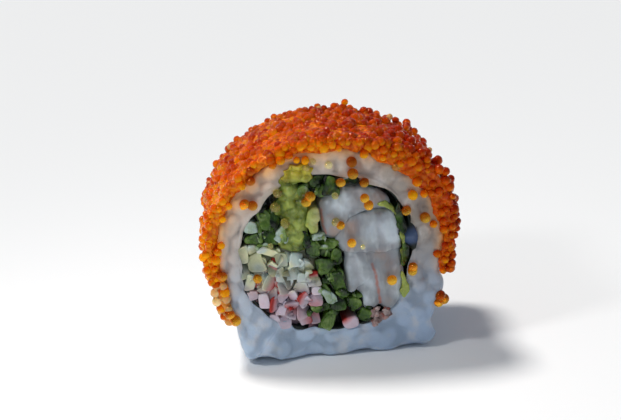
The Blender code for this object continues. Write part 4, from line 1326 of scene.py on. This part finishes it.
# Rows of eggs over each cut face: how far down, and how many of its places are filled
LAP = ((-1.7, 0.8), (-0.8, 0.85), (0.1, 0.6), (1.0, 0.3), (1.9, 0.1), (2.8, 0.05))
LAP_THINS = ((0.56, 0.66, 1.0), (1.0, 0.45, 0.4))  # shares of the line, and of the places
GLOW_WAY = (0.33, -0.28, -0.9)  # light from above gathers on this side of an egg
LINE_CENTRE = 5.0  # height of the point that the line runs round
NORMAL_STEP = 0.4
ROE_COLOUR = {"deep": (0.50, 0.035, 0.001), "orange": (0.92, 0.23, 0.003), "pale": (0.95, 0.42, 0.11)}
ROE_SHINE = {"Subsurface Radius": (1.0, 0.35, 0.1), "Specular Tint": (1.0, 0.7, 0.4, 1.0)}


def blanket_line():
    """The line that the roe lies on, from its right edge over the top to its left edge.

    It is the rice's outline above the two ends, started at its least angle about a low point.
    """
    outline = rice_outline(400, 4)
    line = outline[outline[:, 1] > np.where(outline[:, 0] > 0, ROE_RIGHT_END, ROE_LEFT_END)]
    first = int(np.argmin(np.arctan2(line[:, 1] - LINE_CENTRE, line[:, 0])))
    line = np.roll(line, -first, axis=0)
    return line, run_lengths(line)


def on_line(line, lengths, at, out):
    """Points at these lengths along the line, and out from it by a share of its thickness."""
    steps = (at - NORMAL_STEP, at + NORMAL_STEP)
    spots = [np.stack([np.interp(s, lengths, part) for part in line.T], axis=-1) for s in steps]
    along = spots[1] - spots[0]
    along /= np.maximum(np.linalg.norm(along, axis=-1, keepdims=True), 1e-9)
    normal = np.stack([along[..., 1], -along[..., 0]], axis=-1)
    out = out * np.where(out > 0, np.interp(at / lengths[-1], *THICKNESS), 1.0)
    return (spots[0] + spots[1]) / 2 + normal * out[..., None]


def end_share(at, total, left):
    """0 at either end of the blanket, 1 where it has its full thickness, and more beyond."""
    return np.minimum(at / ROE_TAPER, (total - at) / (left * ROE_TAPER))


def bent_slab(line, lengths, low, high, middle, half_depth):
    """A slab bent along the line between two heights out from it, tapered at both ends.

    Columns run round its section, up the front, back over the top and home under it.
    """
    at = np.linspace(0.2, lengths[-1] - 0.2, len(low))
    taper = np.clip(end_share(at, lengths[-1], LEFT_TAPER["bed"]), 0.03, 1) ** 0.6
    around = np.linspace(0, 2 * np.pi, BED_COLUMNS, endpoint=False)
    wave = np.stack([np.cos(around), np.sin(around)], axis=1)
    square = np.sign(wave) * np.abs(wave) ** 0.5
    share = (square[:, 1] + 1) / 2
    out = (low[:, None] + (high - low)[:, None] * share) * taper[:, None]
    flat = on_line(line, lengths, np.broadcast_to(at[:, None], out.shape), out)
    grid = set_back(flat, middle + square[:, 0] * half_depth)
    rough = 0.35 * np.abs(lumps(grid, 1.0, 91)) + 0.15 * lumps(grid, 0.5, 92)
    return grid + normals_of(grid) * rough[..., None]


def make_bed(line, lengths):
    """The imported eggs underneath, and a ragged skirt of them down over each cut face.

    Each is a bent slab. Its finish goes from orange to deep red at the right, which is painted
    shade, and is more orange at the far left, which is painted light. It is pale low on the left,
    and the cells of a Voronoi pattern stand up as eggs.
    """
    steps = np.zeros((BED_ROWS, 3))
    steps[:, 0] = np.linspace(0, lengths[-1], BED_ROWS)
    share = steps[:, 0] / lengths[-1]
    high = BED[1] - BED_DROP * np.clip(1 - 1 / np.interp(share, *THICKNESS), 0, 1)
    half_length = LENGTH / 2 - 0.1
    grids = [bent_slab(line, lengths, np.full(BED_ROWS, BED[0]), high, 0.0, half_length)]
    for side in (-1, 1):
        steps[:, 1] = side * SKIRT_APART
        low = SKIRT_LOW + rough_of(steps, (0.9, 2.2, 93), (0.5, 6.0, 94))
        low += np.interp(share, *SKIRT_LIFT)
        grids.append(bent_slab(line, lengths, low, high, side * half_length, 0.35))
    bed = join_grids("roe_mass", grids, {})
    finish, shader, wire = new_finish("packed roe", {**wet(1.5, 0.6, 0.14), **ROE_SHINE})
    aside = wire.axis(0)
    mixed = wire.step(wire.noise(2.2) * 0.5 + wire.noise(0.8, 2.0) * 0.5, 0.38, 0.62)
    # Painted shade deepens the red towards the right, and painted light makes the far left more orange.
    mixed = mixed * (1 - wire.step(aside, 2 * MM, 16 * MM) * 0.55)
    mixed = mixed + wire.step(-aside, 12 * MM, 22 * MM) * 0.35
    pale = (1 - wire.step(wire.axis(2), 9 * MM, 18 * MM)) * wire.step(-aside, 10 * MM, 17 * MM)
    layers = (mixed, ROE_COLOUR["orange"]), (pale * 0.7, ROE_COLOUR["pale"])
    colour = wire.cover(ROE_COLOUR["deep"], *layers)
    cells = {"Vector": wire.place(), "Scale": 1 / (1.3 * MM)}
    egg = wire.add("ShaderNodeTexVoronoi", {}, cells)
    feed(shader, {"Base Color": colour, "Normal": wire.bump(-egg, 0.6)})
    install(bed, finish, "roe", "roe")


def eggs_object(name, places, sizes, values, random, columns=8, rows=5, shine=0.42):
    """Joined eggs: squeezed spheres at these places, of these diameters, turned at random.

    Each has its own tone, which rises towards the side where the light gathers.
    """
    ball = ball_grid(columns, rows)
    turns = random_turns(len(places), random)
    squeeze = random.uniform(0.90, 1.06, (len(places), 3))
    shaped = ball[None] * (sizes[:, None] / 2 * squeeze)[:, None, None, :]
    grids = np.einsum("nij,nrcj->nrci", turns, shaped) + places[:, None, None, :]
    painted_glow = np.einsum("nrci,i->nrc", grids - places[:, None, None, :], GLOW_WAY)
    painted_glow = shine * painted_glow / (sizes[:, None, None] / 2) + values[:, None, None]
    return join_grids(name, grids, {"tone": list(painted_glow)})


def layer_eggs(line, lengths, random):
    """Two uneven layers on a triangular net, the upper one in heaps away from the ends."""
    total = lengths[-1]
    groups = []
    for layer, rise in enumerate(ROE_RISE):
        across = np.arange(0.4, total - 0.4, EGG_PITCH)
        along = np.arange(FRONT + 0.3, -FRONT, EGG_PITCH * NET_ROW)
        at, y = np.meshgrid(across, along, indexing="ij")
        at = at + EGG_PITCH / 2 * ((np.arange(len(along)) + layer) % 2)
        at = at + random.uniform(-ROE_JITTER, ROE_JITTER, at.shape)
        y = y + random.uniform(-ROE_JITTER, ROE_JITTER, y.shape)
        edge = np.clip(end_share(at, total, LEFT_TAPER["eggs"]), 0, 1)
        heap = lumps(np.stack([at, y, np.zeros(at.shape)], axis=-1), 4.0, 95)
        if layer == 0:
            chance = 0.8 + 0.18 * edge
        else:
            chance = (0.44 + 0.38 * heap) * (0.35 + 0.65 * edge) * (edge > 0.25)
        keep = random.random(at.shape) < chance
        out = rise * (0.55 + 0.45 * edge) + random.uniform(-0.4, 0.4, at.shape) + 0.3 * heap * layer
        flat = on_line(line, lengths, at[keep], out[keep])
        lit = np.interp(at[keep] / total, *LAYER_GLOW) + 0.08 + 0.15 * (1 - layer)
        groups.append((set_back(flat, y[keep]), random.beta(1.3, 1.5, keep.sum()) * 0.7 + lit))
    return groups


def lapping_eggs(line, lengths, random):
    """Rows of eggs down over both cut faces, each row thinner, and thinner at the left."""
    total = lengths[-1]
    groups = []
    for side, (down, chance) in itertools.product((-1, 1), LAP):
        at = np.arange(0.6, total - 0.4, EGG_PITCH) + random.uniform(-0.5, 0.5)
        at = at + random.uniform(-0.4, 0.4, len(at))
        left = np.clip((at / total - 0.5) * 4, 0, 1)
        share = np.where(down > 0.5, 0.5 + 0.5 * left, 1.0)
        if down > -1:
            share = share * np.interp(at / total, *LAP_THINS)
        at = at[random.random(len(at)) < chance * share]
        below = down + random.uniform(-0.4, 0.4, len(at))
        flat = on_line(line, lengths, at, -below)
        past_first = down - LAP[0][0]
        lie = np.clip(0.05 + 0.22 * past_first, 0.05, 0.45) + random.uniform(-0.2, 0.2, len(at))
        lit = 0.1 + 0.12 * past_first + np.interp(at / total, *LAP_GLOW)
        tone = np.clip(random.beta(2, 2, len(at)) * 0.6 + lit, 0, 1)
        groups.append((set_back(flat, side * (LENGTH / 2 + lie)), tone))
    return groups


# Finishes of egg: deep, middle and bright tints, how much light passes through, and gloss. The bright tint
# is also the colour of a painted glow
EGG_TINTS = {
    "clear": ((0.84, 0.72, 0.20), (0.96, 0.86, 0.38), (1.0, 0.95, 0.58), 0.84, 1.0),
    "pale": ((0.95, 0.52, 0.16), (1.0, 0.68, 0.30), (1.0, 0.86, 0.52), 0.5, 0.6),
    "amber": ((0.50, 0.065, 0.002), (0.92, 0.25, 0.005), (1.0, 0.62, 0.06), 0.78, 1.0),
    "orange": ((0.55, 0.028, 0.001), (1.0, 0.19, 0.001), (1.0, 0.50, 0.006), 0.55, 0.3),
}


def egg_finish(name, deep, middle, bright, share, gloss):
    """Firm clear skin over tinted oil: part of the light passes through, the rest scatters."""
    constants = {
        "Roughness": 0.06,
        "IOR": 1.42,
        "Transmission Weight": share,
        "Subsurface Weight": 0.3,
        "Subsurface Radius": (1.0, 0.35, 0.1),
        "Subsurface Scale": 0.8 * MM,
        "Specular IOR Level": gloss,
        "Emission Strength": 0.18,
        "Specular Tint": (1.0, 0.5, 0.16, 1.0),
    }
    finish, shader, wire = new_finish(name, constants)
    ramp = {"stops": ((0.0, deep), (0.5, middle), (1.0, bright))}
    cloud = wire.noise(0.8)
    tone = wire.mark("tone") + (cloud - 0.5) * 0.3
    # Painted glow: the emission lights the side of each egg where light would gather inside it.
    painted_glow = wire.blend(wire.step(tone, 0.5, 1.3), (0.0, 0.0, 0.0), bright)
    feed(shader, {"Base Color": wire.add("ShaderNodeValToRGB", ramp, {0: tone}), "Emission Color": painted_glow})
    return finish


egg_looks = {kind: egg_finish(f"{kind} roe", *tints) for kind, tints in EGG_TINTS.items()}
# Eggs that stand up from the blanket: length along it, how far back, how far out, size. The
# first few are orange and the rest pale.
ORANGE_ONES = 2
PROUD_EGGS = (
    (30.9, 9.6, 2.5, 1.6), (30.8, 9.8, 3.6, 1.3), (19.5, 9.6, 2.2, 1.3), (23.0, 9.6, 2.3, 1.3),
    (9.0, -3.0, 2.2, 1.3), (13.5, 0.5, 2.3, 1.2), (5.5, -5.0, 2.1, 1.2), (3.5, -8.0, 1.9, 1.2),
    (16.0, 4.0, 2.3, 1.2), (52.0, 9.6, 2.4, 1.2), (58.5, 6.0, 2.3, 1.3), (60.5, 3.0, 2.3, 1.2),
    (35.0, 9.6, 2.4, 1.2), (73.0, -6.0, 2.1, 1.2), (68.0, -4.0, 2.2, 1.2), (63.0, -2.0, 2.3, 1.3),
)
PROUD_DEEPER = 0.5  # how much deeper the pale ones' tone is than that of the loose pale eggs
LOOSE_PALE = {"top": 19.0, "over": 7.0, "share": 0.65}  # low on the left many eggs are pale


def make_roe():
    """The bed, its eggs, and the few that stand proud. Pale ones are a piece of their own."""
    random = np.random.default_rng(101)
    line, lengths = blanket_line()
    make_bed(line, lengths)
    groups = layer_eggs(line, lengths, random) + lapping_eggs(line, lengths, random)
    places, values = (np.concatenate(part) for part in zip(*groups))
    sizes = BLANKET_EGG * random.uniform(0.75, 1.2, len(places))
    low = np.clip((LOOSE_PALE["top"] - places[:, 2]) / LOOSE_PALE["over"], 0, 1)
    plain = random.random(len(places)) > LOOSE_PALE["share"] * low * (places[:, 0] < 0)
    eggs = eggs_object("roe_eggs", places[plain], sizes[plain], values[plain], random)
    install(eggs, egg_looks["orange"], "roe")
    at, back, out, proud_sizes = np.array(PROUD_EGGS).T
    proud = set_back(on_line(line, lengths, at, out), back)
    first, rest = proud[:ORANGE_ONES], proud[ORANGE_ONES:]
    tone = np.array((0.3, 0.6))
    eggs = eggs_object("roe_proud", first, proud_sizes[:ORANGE_ONES], tone, random, 16, 10)
    install(eggs, egg_looks["orange"], "roe")
    places = np.concatenate([rest, places[~plain]])
    sizes = np.concatenate([proud_sizes[ORANGE_ONES:], sizes[~plain]])
    values = random.random(len(places)) - 0.1
    values[:len(rest)] -= PROUD_DEEPER
    eggs = eggs_object("roe_pale", places, sizes, values, random, 12, 7)
    install(eggs, egg_looks["pale"], "roe")


make_roe()

# Stray eggs on the front face: x, z, how far proud of the rice, and tone
STRAY = (
    (-13.0, 35.3, 0.3, 0.3), (-13.0, 33.6, 0.4, 0.35), (-14.3, 29.7, 0.5, 0.8), (-13.0, 29.3, 0.4, 0.5),
    (-3.2, 30.2, 0.6, 0.8), (-3.9, 29.3, 0.7, 0.95), (4.1, 35.7, 0.4, 0.25), (4.2, 33.7, 0.6, 0.6),
    (6.1, 32.0, 0.6, 0.6), (2.1, 32.3, 0.6, 0.85), (6.0, 29.4, 1.2, 0.9), (6.6, 28.2, 1.4, 0.8),
    (1.7, 24.9, 1.2, 0.85), (3.4, 21.8, 1.9, 1.0), (13.2, 26.4, 0.3, 0.65), (16.4, 24.9, 0.4, 0.7),
    (14.1, 16.1, 0.5, 0.85), (14.0, 15.3, 0.45, 0.9), (10.2, 14.3, 1.5, 1.0), (-13.0, 15.9, 0.1, 0.95),
    (-19.0, 17.0, 0.4, 0.75), (-18.2, 9.9, 0.5, 0.6), (-17.3, 8.6, 0.5, 0.9), (-15.2, 2.2, 0.75, 0.4),
    (18.9, 10.1, 0.1, 0.4), (19.6, 9.2, -0.5, 0.5), (18.6, 8.8, 0.0, 0.7),
)
# Clear ones: x, z, how far proud of the rice, and size
CLEAR = (
    (-8.7, 31.1, 0.3, 1.5), (-9.2, 28.7, 0.5, 1.8), (-7.7, 25.9, 0.9, 1.7), (1.0, 30.1, 0.9, 1.2),
    (0.9, 25.5, 1.0, 1.5), (11.6, 34.2, 0.2, 1.5), (5.3, 20.9, 1.7, 0.9), (-3.6, 35.3, 0.6, 1.3),
    (-2.4, 36.2, 0.3, 1.2), (-10.4, 22.0, 0.7, 1.0), (0.2, 35.4, 0.2, 1.4),
)


def make_stray():
    """Rounder eggs of many faces, as they stand alone; the one on the foot is a small one."""
    random = np.random.default_rng(111)
    stray = np.array(STRAY)
    places = set_back(stray[:, :2], FRONT - stray[:, 2])
    sizes = EGG * random.uniform(0.92, 1.12, len(stray))
    sizes[stray[:, 1] < FOOT_HEIGHT] = SMALL_EGG
    eggs = eggs_object("roe_stray", places, sizes, stray[:, 3] - 0.1, random, 24, 14, 0.65)
    install(eggs, egg_looks["amber"], "roe")
    clear = np.array(CLEAR)
    places = set_back(clear[:, :2], FRONT - clear[:, 2])
    eggs = eggs_object("roe_clear", places, clear[:, 3], random.random(len(clear)), random, 24, 14)
    install(eggs, egg_looks["clear"], "roe")


make_stray()

# --- Update ---------------------------------------------------------------------------------

bpy.context.view_layer.update()
